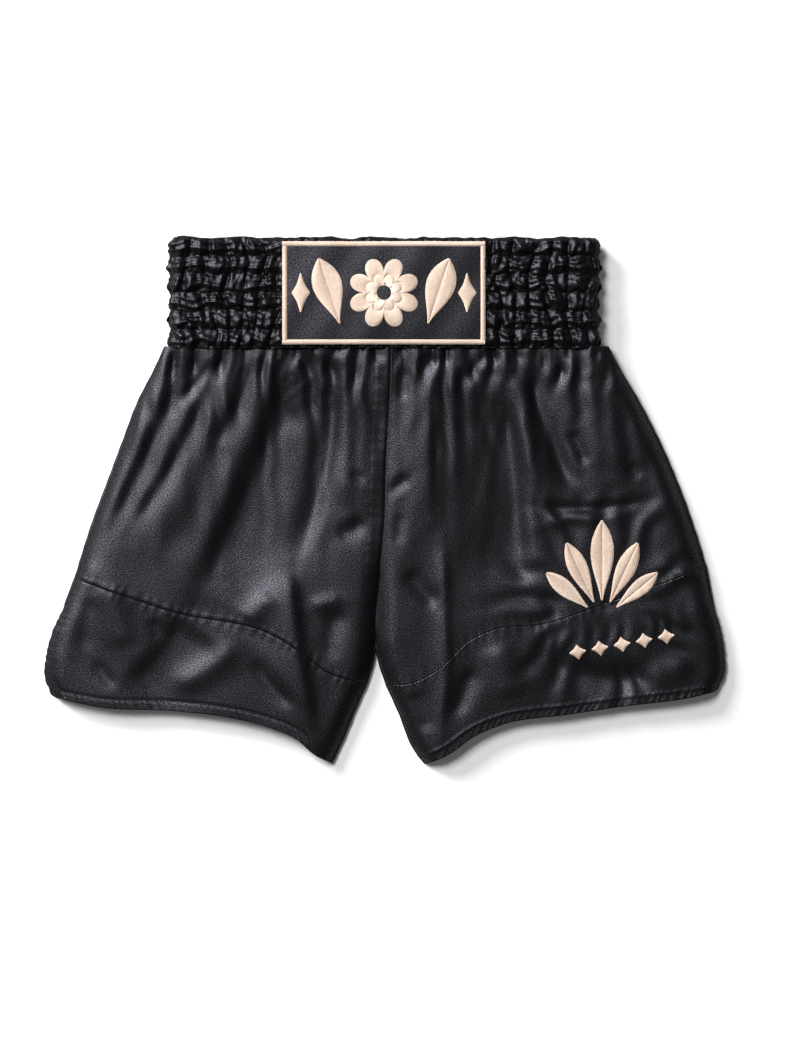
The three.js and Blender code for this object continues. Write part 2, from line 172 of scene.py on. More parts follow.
def finer(grid: np.ndarray, times: int) -> np.ndarray:
    """The same surface with more points, on smooth curves through the given ones.

    Args:
        grid: Array of rows by cols by n.
        times: New steps for each old step.

    Returns:
        The finer grid.
    """

    def along_first(a: np.ndarray) -> np.ndarray:
        """Adds steps along the first axis.

        Args:
            a: The array.

        Returns:
            The array with times as many steps.
        """
        n = a.shape[0]
        s = np.linspace(0, n - 1, (n - 1) * times + 1)
        i = np.clip(s.astype(int), 0, n - 2)
        t = (s - i).reshape(-1, *([1] * (a.ndim - 1)))
        p0, p1 = a[np.clip(i - 1, 0, n - 1)], a[i]
        p2, p3 = a[i + 1], a[np.clip(i + 2, 0, n - 1)]
        return 0.5 * (
            2 * p1
            + (p2 - p0) * t
            + (2 * p0 - 5 * p1 + 4 * p2 - p3) * t**2
            + (3 * p1 - p0 - 3 * p2 + p3) * t**3
        )

    return along_first(along_first(grid).swapaxes(0, 1)).swapaxes(0, 1)


def softened(grid: np.ndarray, passes: int) -> np.ndarray:
    """Irons the roughness out of a grid; its rim stays where it is.

    Args:
        grid: Array of rows by cols by n.
        passes: How often it is ironed.

    Returns:
        The smoother grid.
    """
    out = grid.copy()
    for _ in range(passes):
        out[1:-1, 1:-1] = 0.5 * out[1:-1, 1:-1] + 0.125 * (
            out[:-2, 1:-1] + out[2:, 1:-1] + out[1:-1, :-2] + out[1:-1, 2:]
        )
    return out


def grid_normals(grid: np.ndarray) -> np.ndarray:
    """Unit normals of a grid surface.

    Args:
        grid: Array of rows by cols by 3.

    Returns:
        Array of rows by cols by 3.
    """
    across = np.gradient(grid, axis=1)
    down = np.gradient(grid, axis=0)
    normal = np.cross(down, across)
    return normal / np.maximum(np.linalg.norm(normal, axis=2, keepdims=True), 1e-12)


# ---- Shader tools --------------------------------------------------------------------


class Number:
    """A number in a shader that can be used in ordinary sums."""

    def __init__(self, nodes: "Nodes", socket: Any) -> None:
        """Keeps the socket that gives the number."""
        self.nodes = nodes
        self.socket = socket

    def _sum(self, operation: str, first: Any, second: Any) -> "Number":
        """One Math node."""
        node = self.nodes.add("ShaderNodeMath", {"operation": operation}, {0: first, 1: second})
        return Number(self.nodes, node.outputs[0])

    def __add__(self, other: Any) -> "Number":
        """self + other."""
        return self._sum("ADD", self, other)

    def __radd__(self, other: Any) -> "Number":
        """other + self."""
        return self._sum("ADD", other, self)

    def __sub__(self, other: Any) -> "Number":
        """self - other."""
        return self._sum("SUBTRACT", self, other)

    def __rsub__(self, other: Any) -> "Number":
        """other - self."""
        return self._sum("SUBTRACT", other, self)

    def __mul__(self, other: Any) -> "Number":
        """self * other."""
        return self._sum("MULTIPLY", self, other)

    def __rmul__(self, other: Any) -> "Number":
        """other * self."""
        return self._sum("MULTIPLY", other, self)


class Nodes:
    """The node tree of one material."""

    def __init__(self, name: str) -> None:
        """Starts a material with a principled shader.

        Args:
            name: Name of the material.
        """
        self.material = bpy.data.materials.new(name)
        self.material.use_nodes = True
        self.tree = self.material.node_tree
        self.shader = self.tree.nodes["Principled BSDF"]

    def add(
        self, kind: str, settings: dict[str, Any] | None = None, inputs: dict[Any, Any] | None = None
    ) -> Any:
        """Adds any node.

        Args:
            kind: The node's type.
            settings: Its settings, set first.
            inputs: Values or links of its sockets, by name or number.

        Returns:
            The node.
        """
        node = self.tree.nodes.new(kind)
        for key, value in (settings or {}).items():
            setattr(node, key, value)
        for key, value in (inputs or {}).items():
            self.feed(node.inputs[key], value)
        return node

    def feed(self, socket: Any, value: Any) -> None:
        """Sets a socket to a value, or links it.

        Args:
            socket: The input.
            value: A plain value, a number of this shader or another socket.
        """
        if isinstance(value, Number):
            value = value.socket
        if isinstance(value, bpy.types.NodeSocket):
            self.tree.links.new(value, socket)
        else:
            socket.default_value = value

    def number(self, socket: Any) -> Number:
        """A socket as a number."""
        return Number(self, socket)

    def noise(
        self, where: Any, scale: float, detail: float = 2.0, stretch: Sequence[float] = (1, 1, 1)
    ) -> Number:
        """Soft noise.

        Args:
            where: The coordinates.
            scale: Features per metre.
            detail: Octaves.
            stretch: Extra scale along each axis.

        Returns:
            A number of about 0 to 1.
        """
        place = self.add("ShaderNodeMapping", {}, {"Vector": where, "Scale": tuple(stretch)})
        node = self.add(
            "ShaderNodeTexNoise",
            {"noise_dimensions": "3D"},
            {"Vector": place.outputs[0], "Scale": scale, "Detail": detail},
        )
        return self.number(node.outputs["Fac"])

    def blend(self, share: Any, first: Sequence[float], second: Sequence[float]) -> Any:
        """A colour between two colours."""
        colours = {0: share, 6: (*first, 1), 7: (*second, 1)}
        return self.add("ShaderNodeMix", {"data_type": "RGBA"}, colours).outputs[2]

    def stepped(self, value: Any, low: float, high: float) -> Number:
        """The value spread from 0 at low to 1 at high."""
        ends = {0: value, 1: low, 2: high, 3: 0.0, 4: 1.0}
        return self.number(self.add("ShaderNodeMapRange", {"clamp": True}, ends).outputs[0])

    def bump(self, height: Any, distance: float, strength: float = 1.0) -> None:
        """Raises the surface by a height field."""
        node = self.add("ShaderNodeBump", {}, {"Height": height, "Distance": distance, "Strength": strength})
        self.feed(self.shader.inputs["Normal"], node.outputs[0])


@dataclass(frozen=True)
class SatinFinish:
    """Woven polyester satin: its gloss breaks up into a fine grain of bright and dark floats."""

    name: str
    dark: Colour = (0.006, 0.006, 0.0075)
    light: Colour = (0.053, 0.053, 0.061)
    roughness: float = 0.4
    grain_per_metre: float = 680.0
    grain_height: float = 0.0003
    metallic: float = 0.86
    edge_tint: float = 0.25
    glint_range: tuple[float, float] = (0.4, 0.62)
    cloud_per_metre: float = 26.0
    cloud_share: float = 0.05
    matt_share: float = 0.08
    sheen: float = 0.03

    def make(self) -> bpy.types.Material:
        """Builds the material: dark matt grains among light glossy ones.

        Returns:
            The material.
        """
        n = Nodes(self.name)
        where = n.add("ShaderNodeTexCoord").outputs["UV"]
        grain = n.noise(where, self.grain_per_metre, 2.0, (1.0, 1.7, 1.0))
        floats = n.noise(where, self.grain_per_metre * 1.9, 1.0, (1.8, 0.8, 1.0))
        cloud = n.noise(where, self.cloud_per_metre, 3.0)
        glint = n.stepped(grain * 0.6 + floats * 0.4, *self.glint_range)
        matt = self.matt_share * (1 - glint)
        n.feed(n.shader.inputs["Base Color"], n.blend(glint, self.dark, self.light))
        rough = self.roughness + matt + self.cloud_share * cloud - self.cloud_share
        n.feed(n.shader.inputs["Roughness"], rough)
        n.feed(n.shader.inputs["Metallic"], self.metallic)
        n.feed(n.shader.inputs["Specular Tint"], (self.edge_tint, self.edge_tint, self.edge_tint, 1.0))
        n.feed(n.shader.inputs["Sheen Weight"], self.sheen)
        n.feed(n.shader.inputs["Sheen Roughness"], 0.4)
        n.bump(grain * 0.7 + floats * 0.3, self.grain_height)
        return n.material


@dataclass(frozen=True)
class WovenFinish:
    """A plain ribbed or woven cloth without gloss."""

    name: str
    dark: Colour
    light: Colour
    rib_per_metre: float = 900.0
    roughness: float = 0.75
    rib_height: float = 0.00025

    def make(self) -> bpy.types.Material:
        """Builds the material from two crossed ribs.

        Returns:
            The material.
        """
        n = Nodes(self.name)
        where = n.add("ShaderNodeTexCoord").outputs["UV"]
        rib = n.noise(where, self.rib_per_metre, 2.0, (1.0, 0.25, 1.0))
        cross = n.noise(where, self.rib_per_metre, 2.0, (0.25, 1.0, 1.0))
        weave = n.stepped(rib * 0.5 + cross * 0.5, 0.35, 0.65)
        n.feed(n.shader.inputs["Base Color"], n.blend(weave, self.dark, self.light))
        n.feed(n.shader.inputs["Roughness"], self.roughness - 0.12 * weave)
        n.bump(weave, self.rib_height)
        return n.material


@dataclass(frozen=True)
class ThreadFinish:
    """Glossy rayon thread with a faint change of shade from stitch to stitch."""

    name: str
    dark: Colour
    light: Colour
    roughness: float = 0.42
    sheen: float = 0.2
    gloss: float = 0.5
    fibre_per_metre: float = 900.0
    fibre_height: float = 0.0001
    shade_per_metre: float = 60.0

    def make(self) -> bpy.types.Material:
        """Builds the material.

        Returns:
            The material.
        """
        n = Nodes(self.name)
        where = n.add("ShaderNodeTexCoord").outputs["Object"]
        shade = n.noise(where, self.fibre_per_metre, 2.0)
        patch = n.noise(where, self.shade_per_metre, 2.0)
        share = n.stepped(shade * 0.6 + patch * 0.4, 0.35, 0.65)
        n.feed(n.shader.inputs["Base Color"], n.blend(share, self.dark, self.light))
        n.feed(n.shader.inputs["Roughness"], self.roughness + 0.1 * shade)
        n.feed(n.shader.inputs["Specular IOR Level"], self.gloss)
        n.feed(n.shader.inputs["Sheen Weight"], self.sheen)
        n.feed(n.shader.inputs["Sheen Roughness"], 0.35)
        n.bump(shade, self.fibre_height)
        return n.material


@dataclass(frozen=True)
class FloorFinish:
    """Seamless pale paper."""

    name: str = "paper_floor"
    colour: Colour = (0.82, 0.82, 0.82)
    glow: float = 0.06

    def make(self) -> bpy.types.Material:
        """Builds the material.

        Returns:
            The material.
        """
        n = Nodes(self.name)
        where = n.add("ShaderNodeTexCoord").outputs["Object"]
        tone = n.noise(where, 3.0, 2.0)
        paler = tuple(c * 1.02 for c in self.colour)
        n.feed(n.shader.inputs["Base Color"], n.blend(tone, self.colour, paler))
        n.feed(n.shader.inputs["Roughness"], 0.9)
        n.feed(n.shader.inputs["Specular IOR Level"], 0.1)
        n.feed(n.shader.inputs["Emission Color"], (1, 1, 1, 1))
        n.feed(n.shader.inputs["Emission Strength"], self.glow)
        return n.material


class Wardrobe:
    """Every finish, made once."""

    def __init__(self) -> None:
        """Makes the materials."""
        self.satin = SatinFinish("black_satin").make()
        # The same black satin with darker colours: painted shade for the deep crevices of the shirred
        # waistband.
        self.gathered = SatinFinish(
            "shade_darkened_satin", dark=(0.009, 0.009, 0.011), light=(0.028, 0.028, 0.032), roughness=0.34
        ).make()
        self.patch_satin = SatinFinish("patch_satin", roughness=0.38).make()
        self.lining = WovenFinish("lining_cloth", (0.006, 0.006, 0.007), (0.02, 0.02, 0.022)).make()
        self.elastic = WovenFinish(
            "ribbed_elastic", (0.012, 0.012, 0.013), (0.05, 0.05, 0.055), rib_per_metre=500.0, roughness=0.85
        ).make()
        self.backing = WovenFinish(
            "felt_backing", (0.02, 0.02, 0.022), (0.06, 0.06, 0.065), rib_per_metre=400.0, roughness=0.95
        ).make()
        self.label = WovenFinish(
            "label_tape", (0.5, 0.5, 0.48), (0.7, 0.7, 0.68), rib_per_metre=1500.0, roughness=0.7
        ).make()
        self.peach = ThreadFinish("peach_thread", (0.52, 0.385, 0.30), (0.68, 0.545, 0.45)).make()
        self.black = ThreadFinish(
            "black_thread", (0.006, 0.006, 0.007), (0.015, 0.015, 0.017), roughness=0.6, sheen=0.0, gloss=0.15
        ).make()
        self.floor = FloorFinish().make()


# ---- Pieces --------------------------------------------------------------------------


def new_object(name: str, points: np.ndarray, faces: Any, edges: Any = ()) -> bpy.types.Object:
    """A mesh object at the origin.

    Args:
        name: Name of the piece.
        points: Vertices in metres.
        faces: Lists of vertex numbers.
        edges: Pairs of vertex numbers.

    Returns:
        The object, linked to the scene.
    """
    mesh = bpy.data.meshes.new(name)
    mesh.from_pydata(points.tolist(), list(edges), faces if isinstance(faces, list) else faces.tolist())
    mesh.update()
    piece = bpy.data.objects.new(name, mesh)
    bpy.context.scene.collection.objects.link(piece)
    return piece


def grid_object(
    name: str, grid: np.ndarray, cut: np.ndarray, finish: Any, facing: float = 1.0
) -> bpy.types.Object:
    """A sheet from a grid of points.

    Args:
        name: Name of the piece.
        grid: Rows by cols by 3, in metres.
        cut: Rows by cols by 2, where each point lies in the flat cloth, in metres.
        finish: Material.
        facing: 1 if the faces should point along the grid's own normals, -1 if against them.

    Returns:
        The object.
    """
    rows, cols = grid.shape[:2]
    index = np.arange(rows * cols).reshape(rows, cols)
    quads = np.stack([index[:-1, :-1], index[1:, :-1], index[1:, 1:], index[:-1, 1:]], -1).reshape(-1, 4)
    if facing < 0:
        quads = quads[:, ::-1]
    piece = new_object(name, grid.reshape(-1, 3), quads)
    mesh = piece.data
    layer = mesh.uv_layers.new(name="cloth")
    corner = np.empty(len(mesh.loops), dtype=np.int32)
    mesh.loops.foreach_get("vertex_index", corner)
    layer.data.foreach_set("uv", cut.reshape(-1, 2)[corner].astype(np.float32).ravel())
    mesh.polygons.foreach_set("use_smooth", np.ones(len(mesh.polygons), dtype=bool))
    mesh.materials.append(finish)
    return piece


def thicken(piece: bpy.types.Object, thickness: float, offset: float = -1.0) -> None:
    """Gives a sheet its thickness.

    Args:
        piece: The sheet.
        thickness: Millimetres.
        offset: -1 behind the face, 0 half on each side, 1 in front.
    """
    modifier = piece.modifiers.new("thickness", "SOLIDIFY")
    modifier.thickness = thickness * MM
    modifier.offset = offset
    modifier.use_even_offset = False


@dataclass
class ClothTable:
    """A table on which a cut cloth is pinned and let settle, ten times its real size."""

    scale: float = 10.0
    stretch: float = 22.0
    bend: float = 0.6
    quality: int = 7
    damping: float = 6.0
    thickness: float = 1.0

    def settle(
        self,
        start: np.ndarray,
        cut: np.ndarray,
        pinned: np.ndarray,
        frames: int,
        under: Callable[[np.ndarray, np.ndarray], np.ndarray] | None,
        gravity: float = 1.0,
    ) -> np.ndarray:
        """Lets a grid of cloth settle.

        Args:
            start: Rows by cols by 3, where the cloth starts, in metres.
            cut: Rows by cols by 2, the flat cloth, in metres.
            pinned: Rows by cols, how firmly each point is pinned, 0 to 1.
            frames: Steps of the simulation.
            under: Height of what lies underneath at x, y, in metres, or None.
            gravity: Share of the earth's pull.

        Returns:
            Rows by cols by 3, where the cloth lies.
        """
        rows, cols = start.shape[:2]
        k = self.scale
        piece = grid_object("settling_cloth", start * k, cut, None)
        piece.data.materials.clear()
        piece.shape_key_add(name="Basis")
        key = piece.shape_key_add(name="cut")
        flat = np.concatenate([cut, np.zeros((rows, cols, 1))], axis=2).reshape(-1, 3) * k
        key.data.foreach_set("co", flat.astype(np.float32).ravel())
        key.value = 0.0
        group = piece.vertex_groups.new(name="pins")
        weights = pinned.ravel()
        for weight in np.unique(weights):
            if weight > 0:
                group.add(np.flatnonzero(weights == weight).tolist(), float(weight), "REPLACE")
        modifier = piece.modifiers.new("settle", "CLOTH")
        s = modifier.settings
        s.quality = self.quality
        s.mass = 0.15
        s.tension_stiffness = s.compression_stiffness = self.stretch
        s.shear_stiffness = self.stretch * 0.3
        s.bending_stiffness = self.bend
        s.tension_damping = s.compression_damping = s.shear_damping = self.damping
        s.bending_damping = 0.6
        s.air_damping = 3.0
        s.vertex_group_mass = "pins"
        s.pin_stiffness = 2.0
        s.rest_shape_key = key
        s.effector_weights.gravity = gravity
        c = modifier.collision_settings
        c.use_self_collision = False
        c.use_collision = under is not None
        c.distance_min = self.thickness * MM * k
        ground = None
        if under is not None:
            low, high = start.reshape(-1, 3).min(0) - 0.02, start.reshape(-1, 3).max(0) + 0.02
            gx, gy = np.meshgrid(np.linspace(low[0], high[0], 96), np.linspace(low[1], high[1], 112))
            bed = np.stack([gx, gy, under(gx, gy)], -1) * k
            ground = grid_object("settling_bed", bed, bed[..., :2], None, -1.0)
            ground.data.materials.clear()
            ground.modifiers.new("bed", "COLLISION")
            ground.collision.thickness_outer = 0.01
            ground.collision.cloth_friction = 12.0
        modifier.point_cache.frame_start = 1
        modifier.point_cache.frame_end = frames
        scene = bpy.context.scene
        for step in range(1, frames + 1):
            scene.frame_set(step)
        solved = piece.evaluated_get(bpy.context.evaluated_depsgraph_get())
        out = np.empty(rows * cols * 3, dtype=np.float32)
        solved.data.vertices.foreach_get("co", out)
        for used in (piece, ground):
            if used is not None:
                bpy.data.objects.remove(used, do_unlink=True)
        scene.frame_set(1)
        return out.reshape(rows, cols, 3).astype(float) / k


class Sheets:
    """Hands finished pieces over to the frame."""

    @staticmethod
    def place(
        piece: bpy.types.Object,
        slot: str,
        nodes: Sequence[str],
        flat: tuple[float, float] | None,
        area: float | None = None,
        held: Held = Held.LAID,
        rests_on: Sequence[Any] = (),
    ) -> None:
        """Rides a piece on the shorts, hides the CAD nodes that it stands for and logs its name.

        Args:
            piece: The finished piece.
            slot: The record's material slot. Not used.
            nodes: CAD nodes that the piece stands for.
            flat: Cut size in metres, or None if the piece is not a sheet.
            area: Area of the cut in square metres, if it isn't a rectangle. Not used.
            held: How the cloth is kept in shape. Not used.
            rests_on: What it lies on.
        """
        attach(piece, "root")
        if nodes:
            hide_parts(*nodes)
        if flat is not None:
            list(rests_on)
        log.info("made %s", piece.name)


def cut_area(cut: np.ndarray) -> float:
    """Area of a flat cloth.

    Args:
        cut: Rows by cols by 2, in metres.

    Returns:
        Square metres.
    """
    a = cut[1:, 1:] - cut[:-1, :-1]
    b = cut[1:, :-1] - cut[:-1, 1:]
    return float(np.abs(a[..., 0] * b[..., 1] - a[..., 1] * b[..., 0]).sum() / 2)


def cut_size(cut: np.ndarray) -> tuple[float, float]:
    """Width and length of a flat cloth grid, in metres."""
    span = cut.reshape(-1, 2).max(0) - cut.reshape(-1, 2).min(0)
    return float(span[0]), float(span[1])


@dataclass(frozen=True)
class Fold:
    """A ridge or valley laid into the cloth along a path, in millimetres.

    Seen along the path, one flank lies on the left and one on the right; they may be of
    different widths, which makes a fold lean.
    """

    path: tuple[tuple[float, float], ...]
    left: float
    right: float
    height: float
    steps: int = 40
    overrun: float = 14.0
    soft_end: float = 8.0

    def relief(self, x: np.ndarray, y: np.ndarray) -> np.ndarray:
        """Height of the fold.

        Args:
            x: First coordinate of each point.
            y: Second coordinate of each point.

        Returns:
            Heights at the points.
        """
        marks = Edge(self.path).at(np.linspace(0, 1, self.steps))
        tangent = np.gradient(marks, axis=0)
        tangent /= np.linalg.norm(tangent, axis=1, keepdims=True)
        away = (x[..., None] - marks[:, 0]) ** 2 + (y[..., None] - marks[:, 1]) ** 2
        near = away.argmin(axis=-1)
        dx, dy = x - marks[near, 0], y - marks[near, 1]
        tx, ty = tangent[near, 0], tangent[near, 1]
        aside = dy * tx - dx * ty
        past = dx * tx + dy * ty
        last = self.steps - 1
        share = near / last
        width = np.where(aside > 0, self.left, self.right)
        beyond = np.where((near == 0) | (near == last), past, 0.0)
        fade = smooth_step(-0.05, 0.22, share) * (1 - smooth_step(0.72, 1.05, share))
        fade = np.maximum(fade, 0.25 * np.exp(-((beyond / self.soft_end) ** 2)))
        fade *= np.exp(-((beyond / self.overrun) ** 2))
        return self.height * fade * np.exp(-((aside / width) ** 2))


@dataclass(frozen=True)
class Lie:
    """How a leg's front lies over its back, in millimetres."""

    outer_round: float = 17.0
    inner_round: float = 16.0
    crown: float = 13.0
    droop: float = 0.012
    centre_rise: float = 9.0
    centre_fade: tuple[float, float] = (140.0, 236.0)
    waist_reach: float = 42.0
    waist_round: float = 4.0
    pleat_step: float = 2.9
    pleat_height: float = 1.7
    pleat_reach: float = 62.0
    fine_step: float = 1.25
    fine_height: float = 0.8
    fine_reach: float = 20.0
    pocket_depth: float = 3.4
    pocket_place: float = 14.0
    pocket_reach: float = 13.0
    billow: float = 0.6
    lowest: float = 1.4


@dataclass
class LegPattern:
    """One leg: its outline as it lies, its gathers and its folds."""

    leg: Leg
    upper: Edge
    outer: Edge
    inner: Edge
    seam: Edge
    vent: Edge
    hem: Edge
    inseam: Edge
    folds: tuple[Fold, ...]
    panel_rows: int = 100
    band_rows: int = 34
    cols: int = 92
    gather: float = 0.42
    gather_reach: float = 75.0
    ease_across: float = 1.035
    ease_down: float = 1.012
    lie: Lie = Lie()
    seed: int = 3

    def lying(self) -> np.ndarray:
        """The outline filled with points.

        Returns:
            Rows by cols by 2 in metres: panel first, then hem band.
        """
        panel = between_edges(self.upper, self.seam, self.outer, self.inner, self.panel_rows, self.cols)
        band = between_edges(self.seam, self.hem, self.vent, self.inseam, self.band_rows, self.cols)
        return np.concatenate([panel, band[1:]]) * MM

    def cut(self, lying: np.ndarray) -> np.ndarray:
        """The flat cloth: wider than it lies, most of all at the waist.

        Args:
            lying: The points as they lie.

        Returns:
            Rows by cols by 2, in metres.
        """
        middle = lying[..., 0].mean(axis=1, keepdims=True)
        down = (lying[:1, :, 1].max() - lying[..., 1]) / MM
        wider = self.ease_across + self.gather * np.exp(-((down / self.gather_reach) ** 1.15))
        x = middle + (lying[..., 0] - middle) * wider
        return np.stack([x, lying[..., 1] * self.ease_down], -1)

    def height(self, x: np.ndarray, y: np.ndarray, waist: float, edge: float) -> np.ndarray:
        """Height of the laid cloth at any point, all in millimetres.

        Args:
            x: First coordinate.
            y: Second coordinate.
            waist: Height of the waist seam.
            edge: Height of the sewn edges.

        Returns:
            Heights with the dome, the pleats under the waist and the laid folds.
        """
        lie = self.lie
        down = np.maximum(self.upper.marks[0][1] - y, 0.0)
        sides = []
        for sewn in ((*self.outer.marks, *self.vent.marks[1:]), (*self.inner.marks, *self.inseam.marks[1:])):
            marks = np.array(sewn, dtype=float)[::-1]
            sides.append(np.abs(x - np.interp(y, marks[:, 1], marks[:, 0])))
        outer = 1 - (1 - np.clip(sides[0] / lie.outer_round, 0, 1)) ** 2.2
        inner = 1 - (1 - np.clip(sides[1] / lie.inner_round, 0, 1)) ** 2.0
        dome = outer * inner
        crown = edge + lie.crown - lie.droop * down
        centre = edge + lie.centre_rise * (1 - smooth_step(*lie.centre_fade, down))
        z = crown - (crown - edge) * (1 - outer) - (crown - centre) * (1 - inner)
        at_top = np.exp(-((down / lie.waist_reach) ** 1.6))
        z = z * (1 - at_top) + (waist - lie.waist_round * (1 - outer)) * at_top
        pocket = smooth_step(0.15, 0.8, wave_noise(2.3 * x, 0.8 * down, 30.0, self.seed + 8))
        at_pocket = np.exp(-(((down - lie.pocket_place) / lie.pocket_reach) ** 2))
        z -= dome * lie.pocket_depth * pocket * at_pocket
        z += dome * self.gathers(x, y, down)
        z += dome * lie.billow * wave_noise(x, y, 55.0, self.seed + 3)
        for fold in self.folds:
            z += np.clip(dome * 1.6, 0, 1) * fold.relief(x, y)
        return np.maximum(z, lie.lowest)

    def gathers(self, x: np.ndarray, y: np.ndarray, down: np.ndarray) -> np.ndarray:
        """Relief of the pleats and the finer gathers under the waist seam.

        Args:
            x: First coordinate.
            y: Second coordinate.
            down: How far below the waist seam.

        Returns:
            Heights in millimetres.
        """
        lie, seed = self.lie, self.seed
        across = x + 6 * wave_noise(y, y, 120.0, seed) + 2.4 * wave_noise(x, 1.6 * down, 46.0, seed + 4)
        pleat = np.sin(across / lie.pleat_step + 1.7 * wave_noise(x, x, 60.0, seed + 1))
        pleat *= 1 + 0.7 * wave_noise(x, down, 38.0, seed + 7)
        fine = np.sin(across / lie.fine_step + 2.2 * wave_noise(x, x, 40.0, seed + 2))
        wide = lie.pleat_height * pleat * np.exp(-down / lie.pleat_reach)
        return wide + lie.fine_height * fine * np.exp(-down / lie.fine_reach)


@dataclass(frozen=True)
class Sewn:
    """How the stitched lines draw the cloth in, in millimetres."""

    hem_reach: float = 9.0
    hem_pucker: float = 0.2
    hem_line: float = 8.0
    hem_groove: float = 0.5
    hem_width: float = 1.2
    band_reach: float = 6.0
    band_pucker: float = 0.2
    band_width: float = 0.9
    ridge_place: float = 2.4
    ridge_width: float = 1.4
    fork: tuple[float, float] = (-62.0, -52.0)
    fork_groove: float = 0.9
    fork_width: float = 1.3
    felled_line: float = 13.0
    felled_rise: float = 0.4
    felled_groove: float = 0.35
    felled_pucker: float = 0.1
    vent_top: tuple[float, float] = (-90.0, -80.0)
    vent_reach: float = 8.0
    vent_groove: float = 0.35
    fan_ring: float = 62.0
    fan_reach: float = 20.0
    fan_pucker: float = 0.75
    row_drop: float = 24.0
    row_slope: float = 0.17
    row_reach: float = 9.0
    row_pucker: float = 0.45


